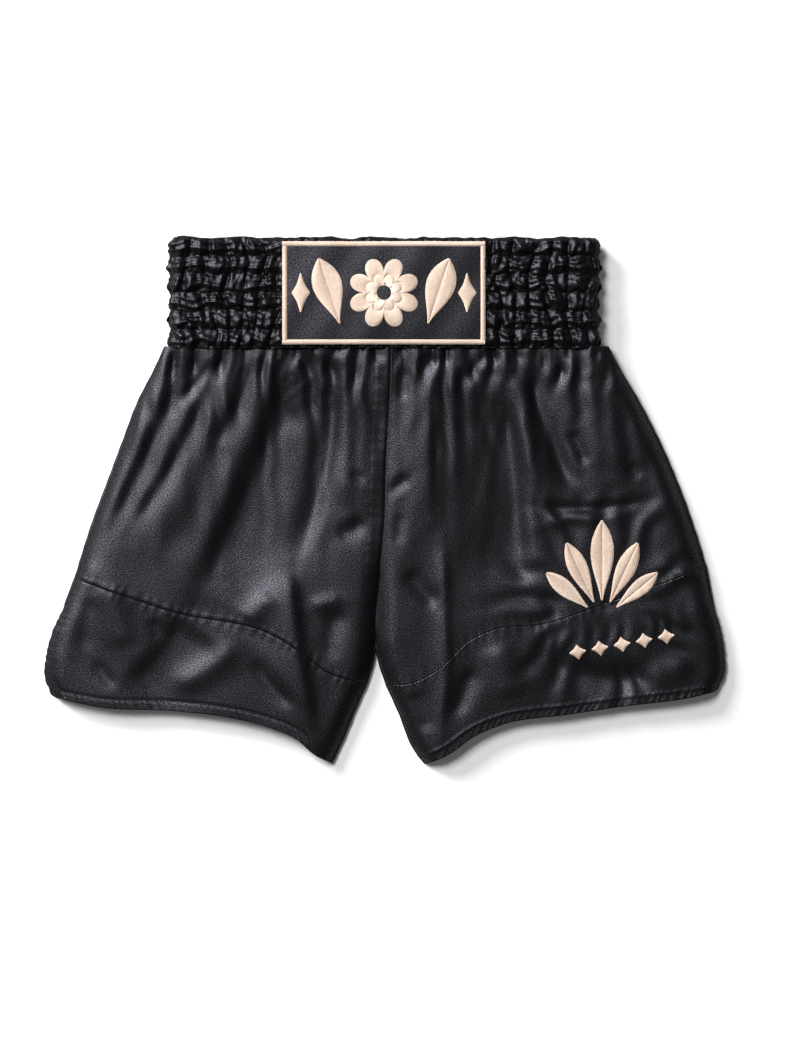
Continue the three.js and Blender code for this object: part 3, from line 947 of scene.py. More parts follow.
@dataclass
class FrontLeg:
    """The satin of one leg's front: main panel and hem band."""

    pattern: LegPattern
    wardrobe: Wardrobe
    waist_height: float = 18.5
    edge_height: float = 4.6
    air: float = 1.1
    frames: int = 20
    play: float = 1.3
    thickness: float = 0.45
    thread_rise: float = 0.08
    sewn: Sewn = Sewn()
    grid: np.ndarray = field(init=False)
    flat: np.ndarray = field(init=False)
    seam_row: int = field(init=False)

    def settle(self) -> None:
        """Lets the front of the leg settle over the back of it."""
        p = self.pattern
        lying = p.lying()
        cut = p.cut(lying)
        x, y = lying[..., 0] / MM, lying[..., 1] / MM
        height = p.height(x, y, self.waist_height, self.edge_height)
        start = np.concatenate([lying, ((height + 0.5) * MM)[..., None]], axis=2)
        pins = np.zeros(lying.shape[:2])
        pins[0] = 1.0
        pins[:, 0] = 1.0
        pins[:, -1] = 1.0
        pins[-1] = 0.0
        pins[-1, 0] = pins[-1, -1] = 1.0

        def under(x: np.ndarray, y: np.ndarray) -> np.ndarray:
            """The back of the leg and the air in it."""
            return (p.height(x / MM, y / MM, self.waist_height, self.edge_height) - self.air) * MM

        settled = ClothTable().settle(start, cut, pins, self.frames, under)
        x, y = settled[..., 0] / MM, settled[..., 1] / MM
        laid = p.height(x, y, self.waist_height, self.edge_height)
        free = settled[..., 2] / MM - laid
        settled[..., 2] = (laid + self.play * np.tanh(free / self.play)) * MM
        self.grid = settled
        self.flat = cut

    def finish(self) -> list[bpy.types.Object]:
        """Makes the two pieces, with seam puckers worked in.

        Returns:
            The panel and the hem band.
        """
        p = self.pattern
        fine = finer(softened(self.grid, 3), 2)
        flat = finer(self.flat, 2)
        seam = (p.panel_rows - 1) * 2
        fine = fine + grid_normals(fine) * self.puckers(fine, seam)[..., None] * MM
        self.grid, self.flat, self.seam_row = fine, flat, seam
        facing = 1.0 if grid_normals(fine)[..., 2].mean() > 0 else -1.0
        parts = []
        for name, low, high in (("panel", 0, seam + 1), ("hem_band", seam, len(fine))):
            cut = flat[low:high]
            named = f"{name}_{p.leg.value}"
            piece = grid_object(f"satin_front_{named}", fine[low:high], cut, self.wardrobe.satin, facing)
            thicken(piece, self.thickness)
            held = Held.GATHERED if name == "panel" else Held.LAID
            Sheets.place(
                piece, "satin", [f"front_{named}"], cut_size(cut), cut_area(cut), held, [f"back_{named}"]
            )
            parts.append(piece)
        return parts

    def puckers(self, grid: np.ndarray, seam: int) -> np.ndarray:
        """Small puckers along every stitched line.

        Args:
            grid: The leg's points.
            seam: Row of the hem band's seam.

        Returns:
            Heights in millimetres.
        """
        sewn, seed = self.sewn, self.pattern.seed
        rows, cols = grid.shape[:2]
        step = np.linalg.norm(np.diff(grid, axis=1), axis=2)
        along = np.concatenate([np.zeros((rows, 1)), np.cumsum(step, axis=1)], axis=1) / MM
        fall = np.linalg.norm(np.diff(grid, axis=0), axis=2)
        down = np.concatenate([np.zeros((1, cols)), np.cumsum(fall, axis=0)]) / MM
        from_hem = down[-1:] - down
        from_seam = down - down[seam : seam + 1]
        ripple = np.sin(along / 0.95 + 2.5 * wave_noise(along, along, 22.0, seed + 5))
        ripple += 0.7 * np.sin(along / 0.58 + 3.0 * wave_noise(along, along, 17.0, seed + 15))
        out = sewn.hem_pucker * np.exp(-((from_hem / sewn.hem_reach) ** 2)) * ripple
        out *= 1 + 0.6 * wave_noise(along, along, 40.0, seed + 16)
        out -= sewn.hem_groove * np.exp(-(((from_hem - sewn.hem_line) / sewn.hem_width) ** 2))
        near = np.exp(-((from_seam / sewn.band_reach) ** 2))
        out += sewn.band_pucker * near * np.sin(along / 1.4 + 2.5 * wave_noise(along, along, 30.0, seed + 6))
        groove, ridge = (0.24, 0.16) if self.pattern.leg is Leg.RIGHT else (0.1, 0.02)
        out -= groove * np.exp(-((from_seam / sewn.band_width) ** 2))
        out += ridge * np.exp(-(((from_seam + sewn.ridge_place) / sewn.ridge_width) ** 2))
        out += self.side_puckers(grid[..., 1] / MM, along, down)
        if self.pattern.leg is Leg.LEFT:
            out += self.emblem_puckers(grid)
        return out

    def side_puckers(self, height: np.ndarray, along: np.ndarray, down: np.ndarray) -> np.ndarray:
        """Puckers along the centre seam and the open vent.

        Args:
            height: Y of the points, in millimetres.
            along: How far the points are from the outer edge.
            down: How far the points are from the waist seam.

        Returns:
            Heights in millimetres.
        """
        sewn, seed = self.sewn, self.pattern.seed
        from_inner = along[:, -1:] - along
        closed = smooth_step(*sewn.fork, height)
        out = -sewn.fork_groove * np.exp(-((from_inner / sewn.fork_width) ** 2)) * closed
        if self.pattern.leg is Leg.RIGHT:
            line = sewn.felled_line
            felled = closed * (1 - smooth_step(line, line + 2.5, from_inner))
            groove = sewn.felled_groove * closed * np.exp(-(((from_inner - line) / 1.1) ** 2))
            out += sewn.felled_rise * felled - groove
            ripple = np.sin(down / 1.6 + 2 * wave_noise(down, down, 30.0, seed + 8))
            out += sewn.felled_pucker * felled * ripple
        vent = 1 - smooth_step(*sewn.vent_top, height)
        near = np.exp(-((along / sewn.vent_reach) ** 2)) * vent
        uneven = 0.3 + 0.2 * wave_noise(down, down, 19.0, seed + 10)
        out += uneven * near * np.sin(down / 1.15 + 2.6 * wave_noise(down, down, 25.0, seed + 9))
        return out - sewn.vent_groove * vent * np.exp(-(((along - sewn.vent_reach) / 1.3) ** 2))

    def emblem_puckers(self, grid: np.ndarray) -> np.ndarray:
        """Puckers round the leg's embroidery.

        Args:
            grid: The leg's points.

        Returns:
            Heights in millimetres.
        """
        sewn = self.sewn
        low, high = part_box("emblem_petal_3")
        dx = grid[..., 0] / MM - float(low[0] + high[0]) / 2 / MM
        dy = grid[..., 1] / MM - float(low[1]) / MM
        turn, away = np.arctan2(dy, dx), np.hypot(dx, dy * 0.85)
        ring = np.exp(-(((away - sewn.fan_ring) / sewn.fan_reach) ** 2))
        out = sewn.fan_pucker * ring * np.sin(turn * 17.0 + 2.0 * wave_noise(dx, dy, 50.0, 31))
        row = np.exp(-(((dy + sewn.row_drop - sewn.row_slope * dx) / sewn.row_reach) ** 2))
        row *= np.abs(dx - 16.0) < 60.0
        return out + sewn.row_pucker * row * np.sin(dx / 2.1 + 2.0 * wave_noise(dx, dy, 30.0, 33))

    def line_above_hem(self, distance: float) -> np.ndarray:
        """A line across the leg beside its hem.

        Args:
            distance: Millimetres above the hem.

        Returns:
            Points in metres.
        """
        fall = np.linalg.norm(np.diff(self.grid, axis=0), axis=2) / MM
        from_hem = np.concatenate([np.cumsum(fall[::-1], axis=0)[::-1], np.zeros((1, fall.shape[1]))])
        row = np.abs(from_hem - distance).argmin(axis=0)
        return self.lifted()[row, np.arange(self.grid.shape[1])][5:-3]

    def line_from_side(self, distance: float, high: float, low: float, inner: bool = False) -> np.ndarray:
        """A line down the leg beside its outer or inner edge.

        Args:
            distance: Millimetres from the edge.
            high: Y at which the line starts, in millimetres.
            low: Y at which it ends.
            inner: Whether to measure from the inner edge.

        Returns:
            Points in metres.
        """
        step = np.linalg.norm(np.diff(self.grid, axis=1), axis=2) / MM
        along = np.concatenate([np.zeros((len(step), 1)), np.cumsum(step, axis=1)], axis=1)
        away = along[:, -1:] - along if inner else along
        col = np.abs(away - distance).argmin(axis=1)
        line = self.lifted()[np.arange(len(self.grid)), col]
        y = line[:, 1] / MM
        return line[(y < high) & (y > low)]

    def seam_line(self, offset: float) -> np.ndarray:
        """A line along the hem band's seam, offset downwards in millimetres."""
        rows = int(round(offset / 1.35))
        return self.lifted()[self.seam_row + rows, 3:-3]

    def lifted(self) -> np.ndarray:
        """The face of the cloth, where a thread lies.

        Returns:
            The grid, raised a little.
        """
        normal = grid_normals(self.grid)
        normal *= np.sign(normal[..., 2:].mean())
        return self.grid + normal * self.thread_rise * MM


def smooth_solid(
    name: str,
    grid: np.ndarray,
    finish: Any,
    thickness: float,
    slot: str,
    nodes: Sequence[str],
    cut: np.ndarray | None = None,
    held: Held = Held.LAID,
    rests_on: Sequence[Any] = (),
    upwards: bool = True,
    offset: float = -1.0,
) -> bpy.types.Object:
    """A thickened sheet, made and placed in one go.

    Args:
        name: Name of the piece.
        grid: Rows by cols by 3, in metres.
        finish: Material.
        thickness: Millimetres.
        slot: The record's slot.
        nodes: CAD nodes that it stands for.
        cut: The flat cloth; the lying size if left out.
        held: How it is kept in shape.
        rests_on: What it lies on.
        upwards: Whether most of the sheet's face points up.
        offset: Where the thickness goes, -1 behind the face and 1 in front.

    Returns:
        The object.
    """
    if cut is None:
        step = np.linalg.norm(np.diff(grid, axis=1), axis=2)
        fall = np.linalg.norm(np.diff(grid, axis=0), axis=2)
        x = np.concatenate([np.zeros((len(step), 1)), np.cumsum(step, axis=1)], axis=1)
        y = np.concatenate([np.zeros((1, fall.shape[1])), np.cumsum(fall, axis=0)])
        cut = np.stack([x, y], -1)
    up = grid_normals(grid)[..., 2].mean() > 0
    piece = grid_object(name, grid, cut, finish, 1.0 if up == upwards else -1.0)
    thicken(piece, thickness, offset)
    width, length = (max(side, LEAST_SIDE) for side in cut_size(cut))
    area = min(cut_area(cut), LARGEST_FILL * width * length)
    Sheets.place(piece, slot, nodes, (width, length), area, held, rests_on)
    return piece


class BackLeg:
    """The satin of one leg's back, flat on whatever the shorts lie on."""

    def __init__(self, front: FrontLeg, wardrobe: Wardrobe) -> None:
        """Takes its outline from the front.

        Args:
            front: The settled front of the same leg.
            wardrobe: The finishes.
        """
        p = front.pattern
        self.front = front
        self.wardrobe = wardrobe
        self.leg = p.leg
        lying = p.lying()
        self.flat = p.cut(lying)
        x, y = lying[..., 0] / MM, lying[..., 1] / MM
        u = np.linspace(0, 1, p.cols)[None, :]
        width = np.abs(lying[:, -1:, 0] - lying[:, :1, 0]) / MM
        near = np.clip(np.minimum(u, 1 - u) * width / 12.0, 0, 1)
        down = y[0].max() - y
        z = 0.75 + 0.9 * (1 - near) ** 2 + 0.25 * wave_noise(x, y, 38.0, p.seed + 40)
        z += 0.9 * np.exp(-down / 30.0) * (1 + np.sin(x / 2.2 + 2 * wave_noise(x, x, 50.0, p.seed + 41)))
        self.grid = np.concatenate([lying, (np.maximum(z, 0.35) * MM)[..., None]], axis=2)
        self.seam_row = p.panel_rows - 1

    def finish(self) -> None:
        """Makes the back panel and the back hem band."""
        ends = {"panel": (0, self.seam_row + 1), "hem_band": (self.seam_row, len(self.grid))}
        for name, (low, high) in ends.items():
            smooth_solid(
                f"satin_back_{name}_{self.leg.value}",
                self.grid[low:high],
                self.wardrobe.satin,
                0.3,
                "satin",
                [f"back_{name}_{self.leg.value}"],
                self.flat[low:high],
                upwards=False,
                offset=0.0,
            )


@dataclass
class LegTrim:
    """What closes and edges one leg: side seam, inseam and the turned-up hems."""

    front: FrontLeg
    back: BackLeg
    wardrobe: Wardrobe
    thickness: float = 0.3
    round_steps: int = 9
    taper: float = 24.0
    inset: tuple[float, ...] = (0.4, 2.0, 4.0, 5.6, 7.0)

    def finish(self) -> None:
        """Makes the seams and the turned-up hems."""
        self.closed_edge("side_seam", 0, 200.0, -86.0, 2.0)
        self.closed_edge("inseam", -1, -108.0, -300.0, 1.6)
        self.hem("front", self.front.grid, -0.62)
        self.hem("back", finer(self.back.grid, 2), 0.5)

    def closed_edge(self, name: str, column: int, high: float, low: float, bulge: float) -> None:
        """A rounded edge from the front down to the back.

        Args:
            name: Seam name.
            column: Which column of the grids the edge is.
            high: Y of its upper end, in millimetres.
            low: Y of its lower end.
            bulge: How far it stands out.
        """
        leg = self.front.pattern.leg.value
        upper = self.front.grid[::2, column]
        lower = self.back.grid[:, column]
        y = lower[:, 1] / MM
        keep = (y < high) & (y > low)
        upper, lower = upper[keep], lower[keep]
        inside = self.front.grid[::2, 4 if column == 0 else -5][keep]
        away = upper - inside
        away[:, 2] = 0
        away /= np.maximum(np.linalg.norm(away, axis=1, keepdims=True), 1e-9)
        shares = np.linspace(0, 1, self.round_steps)[None, :, None]
        line = upper[:, None] * (1 - shares) + lower[:, None] * shares
        taper = np.sqrt(np.clip((y[keep] - low) / self.taper, 0, 1))[:, None, None]
        swell = np.sin(math.pi * shares) * bulge * MM * taper
        ripple = 1 + 0.06 * np.sin(np.arange(len(upper)) * 0.9)[:, None, None]
        grid = line + away[:, None] * swell * ripple
        facing = grid_normals(grid)
        outwards = (facing * away[:, None]).sum(-1).mean() > 0
        steps = np.arange(len(upper))[:, None] * np.ones((1, self.round_steps))
        height = np.linalg.norm(np.diff(grid, axis=1), axis=2).sum(1).mean()
        length = np.linalg.norm(np.diff(upper, axis=0), axis=1).sum()
        cut = np.stack([shares[..., 0] * height * np.ones_like(steps), steps / len(upper) * length], -1)
        piece = grid_object(f"satin_{name}_{leg}", grid, cut, self.wardrobe.satin, 1.0 if outwards else -1.0)
        thicken(piece, self.thickness)
        width = max(height, LEAST_SIDE)
        area = max(LEAST_FILL * width * length, height * length * LARGEST_FILL)
        Sheets.place(piece, "satin", [f"{name}_{leg}"], (width, length), area, Held.FOLDED)

    def hem(self, face: str, grid: np.ndarray, offset: float) -> None:
        """A hem turned up inside the leg, down the vent and along the bottom.

        Args:
            face: "front" or "back".
            grid: The leg's grid.
            offset: Millimetres above the grid.
        """
        leg = self.front.pattern.leg.value
        last = len(grid) - 1
        columns = grid.shape[1]
        first = int(np.abs(grid[:, 0, 1] + 0.088).argmin())
        width = int(self.inset[-1])
        rows = [[(min(row, last - k), k) for k in self.inset] for row in range(first, last)]
        for col in range(0, columns - width - 2):
            rows.append([(last - k, max(col, k)) for k in self.inset])
        index = np.array(rows)
        i, j = index[..., 0], index[..., 1]
        i0, j0 = np.floor(i).astype(int), np.floor(j).astype(int)
        i1, j1 = np.minimum(i0 + 1, last), np.minimum(j0 + 1, columns - 1)
        fi, fj = (i - i0)[..., None], (j - j0)[..., None]
        lift = grid_normals(grid)
        lift = grid + lift * np.sign(lift[..., 2:].mean()) * offset * MM
        strip = (lift[i0, j0] * (1 - fi) + lift[i1, j0] * fi) * (1 - fj) + lift[i0, j1] * fj
        smooth_solid(
            f"satin_{face}_hem_turnup_{leg}",
            strip[::2],
            self.wardrobe.satin,
            self.thickness,
            "satin",
            [f"{face}_hem_turnup_{leg}"],
            held=Held.FOLDED,
            upwards=offset > 0,
            offset=0.0,
        )


@dataclass
class RiseSeams:
    """The felled allowances of the two centre seams, inside."""

    front: FrontLeg
    back: BackLeg
    wardrobe: Wardrobe
    fork: float = -60.0
    columns: int = 13

    def finish(self) -> None:
        """Makes both allowances."""
        for face, grid, lift in (("front", self.front.grid, -0.75), ("back", finer(self.back.grid, 2), 0.55)):
            rows = grid[:, -1, 1] / MM > self.fork
            strip = grid[rows][3:-2:3, -self.columns :]
            normal = grid_normals(strip)
            strip = strip + normal * np.sign(normal[..., 2:].mean()) * lift * MM
            smooth_solid(
                f"satin_{face}_rise_seam",
                strip,
                self.wardrobe.satin,
                0.3,
                "satin",
                [f"{face}_rise_seam"],
                held=Held.FOLDED,
                upwards=lift > 0,
                offset=0.0,
            )


@dataclass
class Waistband:
    """Shirred satin over six elastic tapes, with a lining."""

    wardrobe: Wardrobe
    channels: int = 6
    per_channel: int = 12
    cols: int = 301
    radius: float = 9.3
    lining_radius: float = 5.0
    frames: int = 16
    fullness: float = 1.3
    ease_down: float = 1.12
    end_round: float = 11.0
    tape_radius: float = 7.4
    pressed_rise: float = 0.9
    strip: np.ndarray = field(init=False)
    flat: np.ndarray = field(init=False)

    def __post_init__(self) -> None:
        """Takes its size and place from the frame."""
        low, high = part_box("casing_back")
        self.middle = float(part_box("casing_front_left")[1][2]) / 2
        self.straight = float(high[0]) - self.end_round * MM
        self.top, self.bottom = float(high[1]), float(low[1])
        self.half_ring = 2 * self.straight + math.pi * self.radius * MM

    def ring(self, s: np.ndarray, radius: np.ndarray) -> tuple[np.ndarray, np.ndarray]:
        """Wraps a share of the half ring round the waist.

        Args:
            s: Shares from the +X tip over to the -X tip.
            radius: Distance from the ring's inner line, in metres.

        Returns:
            X and height above the middle.
        """
        quarter = math.pi / 2 * self.radius * MM
        along = s * self.half_ring
        first = np.clip(along / quarter, 0, 1) * math.pi / 2
        last = np.clip((along - quarter - 2 * self.straight) / quarter, 0, 1) * math.pi / 2
        across = np.clip(along - quarter, 0, 2 * self.straight)
        angle = first + last
        return self.straight - across + radius * np.cos(angle), radius * np.sin(angle)

    def settle(self) -> None:
        """Gathers a strip of satin between its stitch lines."""
        rows = self.channels * self.per_channel + 1
        s = np.linspace(0, self.half_ring, self.cols)[None, :] * np.ones((rows, 1))
        y = np.linspace(0, self.top - self.bottom, rows)[:, None] * np.ones((1, self.cols))
        sm, ym = s / MM, y / MM
        row = np.arange(rows)[:, None] % self.per_channel
        in_channel = row / self.per_channel
        swell = np.sin(math.pi * in_channel)
        which = np.arange(rows)[:, None] // self.per_channel
        bend = wave_noise(sm + 31.0 * which, ym, 34.0, 5)
        turn = wave_noise(sm, ym + 17.0 * which, 21.0, 6)
        wide = np.abs(np.sin(sm / 4.6 + 1.5 * wave_noise(sm, ym, 60.0, 16) + 0.5 * bend)) ** 0.5
        wrinkle = 3.0 * (wide - 0.75) + (0.95 - 0.45 * swell) * np.sin(sm / 1.7 + 3.4 * bend + 1.3 * which)
        wrinkle += (0.6 - 0.45 * swell) * np.sin(sm / 0.9 + 3.6 * turn)
        wrinkle *= 1 + 0.4 * wave_noise(sm, ym + 9.0 * which, 27.0, 9)
        wrinkle += 0.5 * np.sin(4.0 * math.pi * in_channel + 3.0 * turn)
        swell = swell * (1 + 0.3 * wave_noise(sm + 13.0 * which, ym, 30.0, 10))
        lift = swell * (2.2 + 1.35 * wrinkle) + (1 - swell) * (0.55 * wrinkle)
        slip = 1.1 * wave_noise(sm, 40.0 * np.round(ym / 14.67), 33.0, 12) * np.sin(math.pi * ym / ym.max())
        start = np.stack([s + 0.6 * MM * bend * swell, y + slip * MM, lift * MM], -1)
        self.flat = np.stack([s * self.fullness, y * self.ease_down], -1)
        pins = np.where(row == 0, 1.0, 0.0) * np.ones((1, self.cols))
        pins[:, 0] = pins[:, -1] = 1.0
        table = ClothTable(bend=0.25, quality=6)
        self.strip = table.settle(start, self.flat, pins, self.frames, None, 0.0)

    def wrapped(self, strip: np.ndarray, face: int, radius: float) -> np.ndarray:
        """The strip laid round one half of the waist.

        Args:
            strip: The settled strip.
            face: 1 for the front, -1 for the back.
            radius: Millimetres from the ring's inner line.

        Returns:
            The casing's grid.
        """
        share = strip[..., 0] / self.half_ring
        x, z = self.ring(np.clip(share, 0, 1), radius * MM + strip[..., 2])
        height = np.maximum(self.middle + face * z, 0.35 * MM)
        return np.stack([x, self.top - strip[..., 1], height], -1)

    def finish(self) -> None:
        """Makes the casing, the lining and the tapes."""
        fine = finer(softened(self.strip, 1), 2)
        flat = finer(self.flat, 2)
        rim = np.clip(1 - np.arange(len(fine)) / 7.0, 0, 1)[:, None]
        along = fine[..., 0] / MM
        fine[..., 2] -= 1.6 * MM * rim**2
        ruffle = 0.9 * wave_noise(along, along * 0, 26.0, 14) + 0.45 * wave_noise(along, along * 0, 8.0, 15)
        fine[..., 1] -= (0.5 + ruffle) * MM * np.clip(1 - np.arange(len(fine)) / 16.0, 0, 1)[:, None]
        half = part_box("waist_patch")[1][0]
        front = self.wrapped(fine, 1, self.radius)
        under = np.abs(front[..., 0]) < half
        pressed = self.middle + (self.radius + self.pressed_rise) * MM
        inset = smooth_step(0, 2.5 * MM, half - np.abs(front[..., 0]))
        flattened = np.minimum(front[..., 2], pressed + (1 - inset) * 3 * MM)
        front[..., 2] = np.where(under, flattened, front[..., 2])
        left = int(np.argmax(front[10, :, 0] < half - 2 * MM))
        right = int(np.argmax(front[10, :, 0] < -half + 2 * MM))
        last = front.shape[1]
        ends = (("left", 0, left + 1, 1.0), ("middle", left, right + 1, 0.8), ("right", right, last, 1.0))
        for name, low, high, full in ends:
            cut = flat[:, low:high] * np.array([full, 1.0])
            self.piece(f"satin_casing_front_{name}", front[:, low:high], cut, [f"casing_front_{name}"], True)
        turned = fine[:, ::-1].copy()
        turned[..., 0] = self.half_ring - turned[..., 0]
        back = self.wrapped(turned, -1, self.radius)
        self.piece("satin_casing_back", back[::2, ::2], flat[::2, ::-2], ["casing_back"], False)
        self.lining("front", front, 1)
        self.lining("back", back, -1)
        for i in range(self.channels):
            self.tape(i)
        self.front, self.back = front, back

    def piece(self, name: str, grid: np.ndarray, flat: np.ndarray, nodes: list[str], upwards: bool) -> None:
        """One part of the casing, in the satin darkened to paint the shade of its gathers."""
        shaded_satin = self.wardrobe.gathered
        smooth_solid(name, grid, shaded_satin, 0.35, "satin", nodes, flat, Held.GATHERED, upwards=upwards)

    def lining(self, name: str, casing: np.ndarray, face: int) -> None:
        """The lining of one half, turned over at the top edge.

        Args:
            name: "front" or "back".
            casing: The casing's grid.
            face: 1 for the front, -1 for the back.
        """
        top = casing[0, ::4]
        cols = len(top)
        s = np.linspace(0.004, 0.996, cols)
        rows = [top, top + np.array([0, 0.5 * MM, -face * 0.9 * MM])]
        for share in np.linspace(0.03, 0.985, 26):
            wave = 0.25 * np.sin(np.linspace(0, 150, cols) + 3 * share) + 0.2 * math.sin(share * 6 * math.pi)
            x, z = self.ring(s, (self.lining_radius + wave) * MM)
            y = np.full(cols, self.top + (self.bottom - self.top) * share)
            rows.append(np.stack([x, y, self.middle + face * z], -1))
        smooth_solid(
            f"lining_cloth_{name}",
            np.array(rows),
            self.wardrobe.lining,
            0.3,
            "lining",
            [f"lining_{name}"],
            held=Held.STRETCHED,
            upwards=face < 0,
            offset=0.0,
        )

    def tape(self, i: int) -> None:
        """One ribbed elastic tape, a closed ring in its channel.

        Args:
            i: Which channel, counted from the top.
        """
        low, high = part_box(f"elastic_tape_{i + 1}")
        turns = np.linspace(0, 1, 160)
        rows = []
        for y in np.linspace(high[1], low[1], 7):
            x1, z1 = self.ring(turns, np.full(len(turns), self.tape_radius * MM))
            x = np.concatenate([x1, x1[::-1][1:]])
            z = np.concatenate([z1, -z1[::-1][1:]])
            rows.append(np.stack([x, np.full(len(x), y), self.middle + z], -1))
        smooth_solid(
            f"ribbed_tape_{i + 1}",
            np.array(rows),
            self.wardrobe.elastic,
            0.8,
            "elastic",
            [f"elastic_tape_{i + 1}"],
            held=Held.STRETCHED,
            offset=0.0,
        )


# ---- Embroidery ----------------------------------------------------------------------


class NodeGroup:
    """A Geometry Nodes group with named inputs."""

    def __init__(self, name: str) -> None:
        """Starts the group.

        Args:
            name: Name of the group.
        """
        self.group = bpy.data.node_groups.new(name, "GeometryNodeTree")
        self.group.interface.new_socket(name="Geometry", in_out="INPUT", socket_type="NodeSocketGeometry")
        self.group.interface.new_socket(name="Geometry", in_out="OUTPUT", socket_type="NodeSocketGeometry")
        self.keys: dict[str, str] = {}

    def size(self, name: str, value: float) -> None:
        """Adds a named size.

        Args:
            name: Name of the input.
            value: What it is if nothing else is said.
        """
        socket = self.group.interface.new_socket(name=name, in_out="INPUT", socket_type="NodeSocketFloat")
        socket.default_value = value
        self.keys[name] = socket.identifier

    def node(self, kind: str, settings: Settings = None, inputs: Settings = None) -> Any:
        """Adds any node.

        Args:
            kind: Blender's type of the node.
            settings: Attributes, which are set first.
            inputs: Values or links of its sockets.

        Returns:
            The node.
        """
        node = self.group.nodes.new(kind)
        for key, value in (settings or {}).items():
            setattr(node, key, value)
        for key, value in (inputs or {}).items():
            if isinstance(value, bpy.types.NodeSocket):
                self.group.links.new(value, node.inputs[key])
            else:
                node.inputs[key].default_value = value
        return node

    def close(self, geometry: Any, finish: bpy.types.Material) -> None:
        """Ends the group: smooth, realized and in its material.

        Args:
            geometry: Socket that gives the geometry.
            finish: The material.
        """
        smooth = self.node("GeometryNodeSetShadeSmooth", {}, {"Geometry": geometry})
        real = self.node("GeometryNodeRealizeInstances", {}, {"Geometry": smooth.outputs[0]})
        dressed = self.node("GeometryNodeSetMaterial", {}, {"Geometry": real.outputs[0], "Material": finish})
        self.node("NodeGroupOutput", {}, {0: dressed.outputs[0]})

    def use(self, lines: list[np.ndarray], name: str, **sizes: float) -> bpy.types.Object:
        """Runs the group on lines of points and keeps the result as a plain mesh.

        Args:
            lines: Each line's points, in metres.
            name: Name of the piece.
            **sizes: Values of the named inputs.

        Returns:
            The object.
        """
        points = np.concatenate(lines)
        ends = np.cumsum([len(line) for line in lines])
        inner = np.setdiff1d(np.arange(len(points) - 1), ends[:-1] - 1)
        guide = new_object(f"{name}_guide", points, [], np.stack([inner, inner + 1], -1).tolist())
        modifier = guide.modifiers.new("sewing", "NODES")
        modifier.node_group = self.group
        for key, value in sizes.items():
            modifier[self.keys[key]] = value
        depsgraph = bpy.context.evaluated_depsgraph_get()
        mesh = bpy.data.meshes.new_from_object(guide.evaluated_get(depsgraph))
        bpy.data.objects.remove(guide, do_unlink=True)
        mesh.name = name
        piece = bpy.data.objects.new(name, mesh)
        bpy.context.scene.collection.objects.link(piece)
        return piece


class ThreadGroup(NodeGroup):
    """Lines turned into round thread."""

    def __init__(self, finish: bpy.types.Material) -> None:
        """Builds the tree.

        Args:
            finish: The thread's material.
        """
        super().__init__(f"thread_{finish.name}")
        self.size("Radius", 0.00025)
        start = self.node("NodeGroupInput")
        curve = self.node("GeometryNodeMeshToCurve", {}, {"Mesh": start.outputs["Geometry"]})
        size = {"Resolution": 6, "Radius": start.outputs["Radius"]}
        ring = self.node("GeometryNodeCurvePrimitiveCircle", {}, size)
        tube = self.node(
            "GeometryNodeCurveToMesh",
            {},
            {"Curve": curve.outputs[0], "Profile Curve": ring.outputs[0], "Fill Caps": True},
        )
        self.close(tube.outputs[0], finish)

    def sew(self, name: str, lines: list[np.ndarray], node: str) -> None:
        """Makes one embroidered piece from its threads, for one CAD node."""
        Sheets.place(self.use(lines, name, Radius=THREAD_RADIUS), "thread", [node], None)


class StitchGroup(NodeGroup):
    """A line of separate stitches."""

    def __init__(self, finish: bpy.types.Material) -> None:
        """Builds the tree.

        Args:
            finish: The thread's material.
        """
        super().__init__(f"stitches_{finish.name}")
        self.size("Spacing", 0.0034)
        self.size("Half length", 0.00125)
        self.size("Radius", 0.0002)
        start = self.node("NodeGroupInput")
        curve = self.node("GeometryNodeMeshToCurve", {}, {"Mesh": start.outputs["Geometry"]})
        spots = self.node(
            "GeometryNodeCurveToPoints",
            {"mode": "LENGTH"},
            {"Curve": curve.outputs[0], "Length": start.outputs["Spacing"]},
        )
        ball = self.node("GeometryNodeMeshUVSphere", {}, {"Segments": 6, "Rings": 5, "Radius": 1.0})
        shape = self.node(
            "ShaderNodeCombineXYZ",
            {},
            {"X": start.outputs["Radius"], "Y": start.outputs["Radius"], "Z": start.outputs["Half length"]},
        )
        stretched = {"Geometry": ball.outputs[0], "Scale": shape.outputs[0]}
        stitch = self.node("GeometryNodeTransform", {}, stretched)
        places = {"Points": spots.outputs["Points"], "Rotation": spots.outputs["Rotation"]}
        row = self.node("GeometryNodeInstanceOnPoints", {}, {**places, "Instance": stitch.outputs[0]})
        self.close(row.outputs[0], finish)


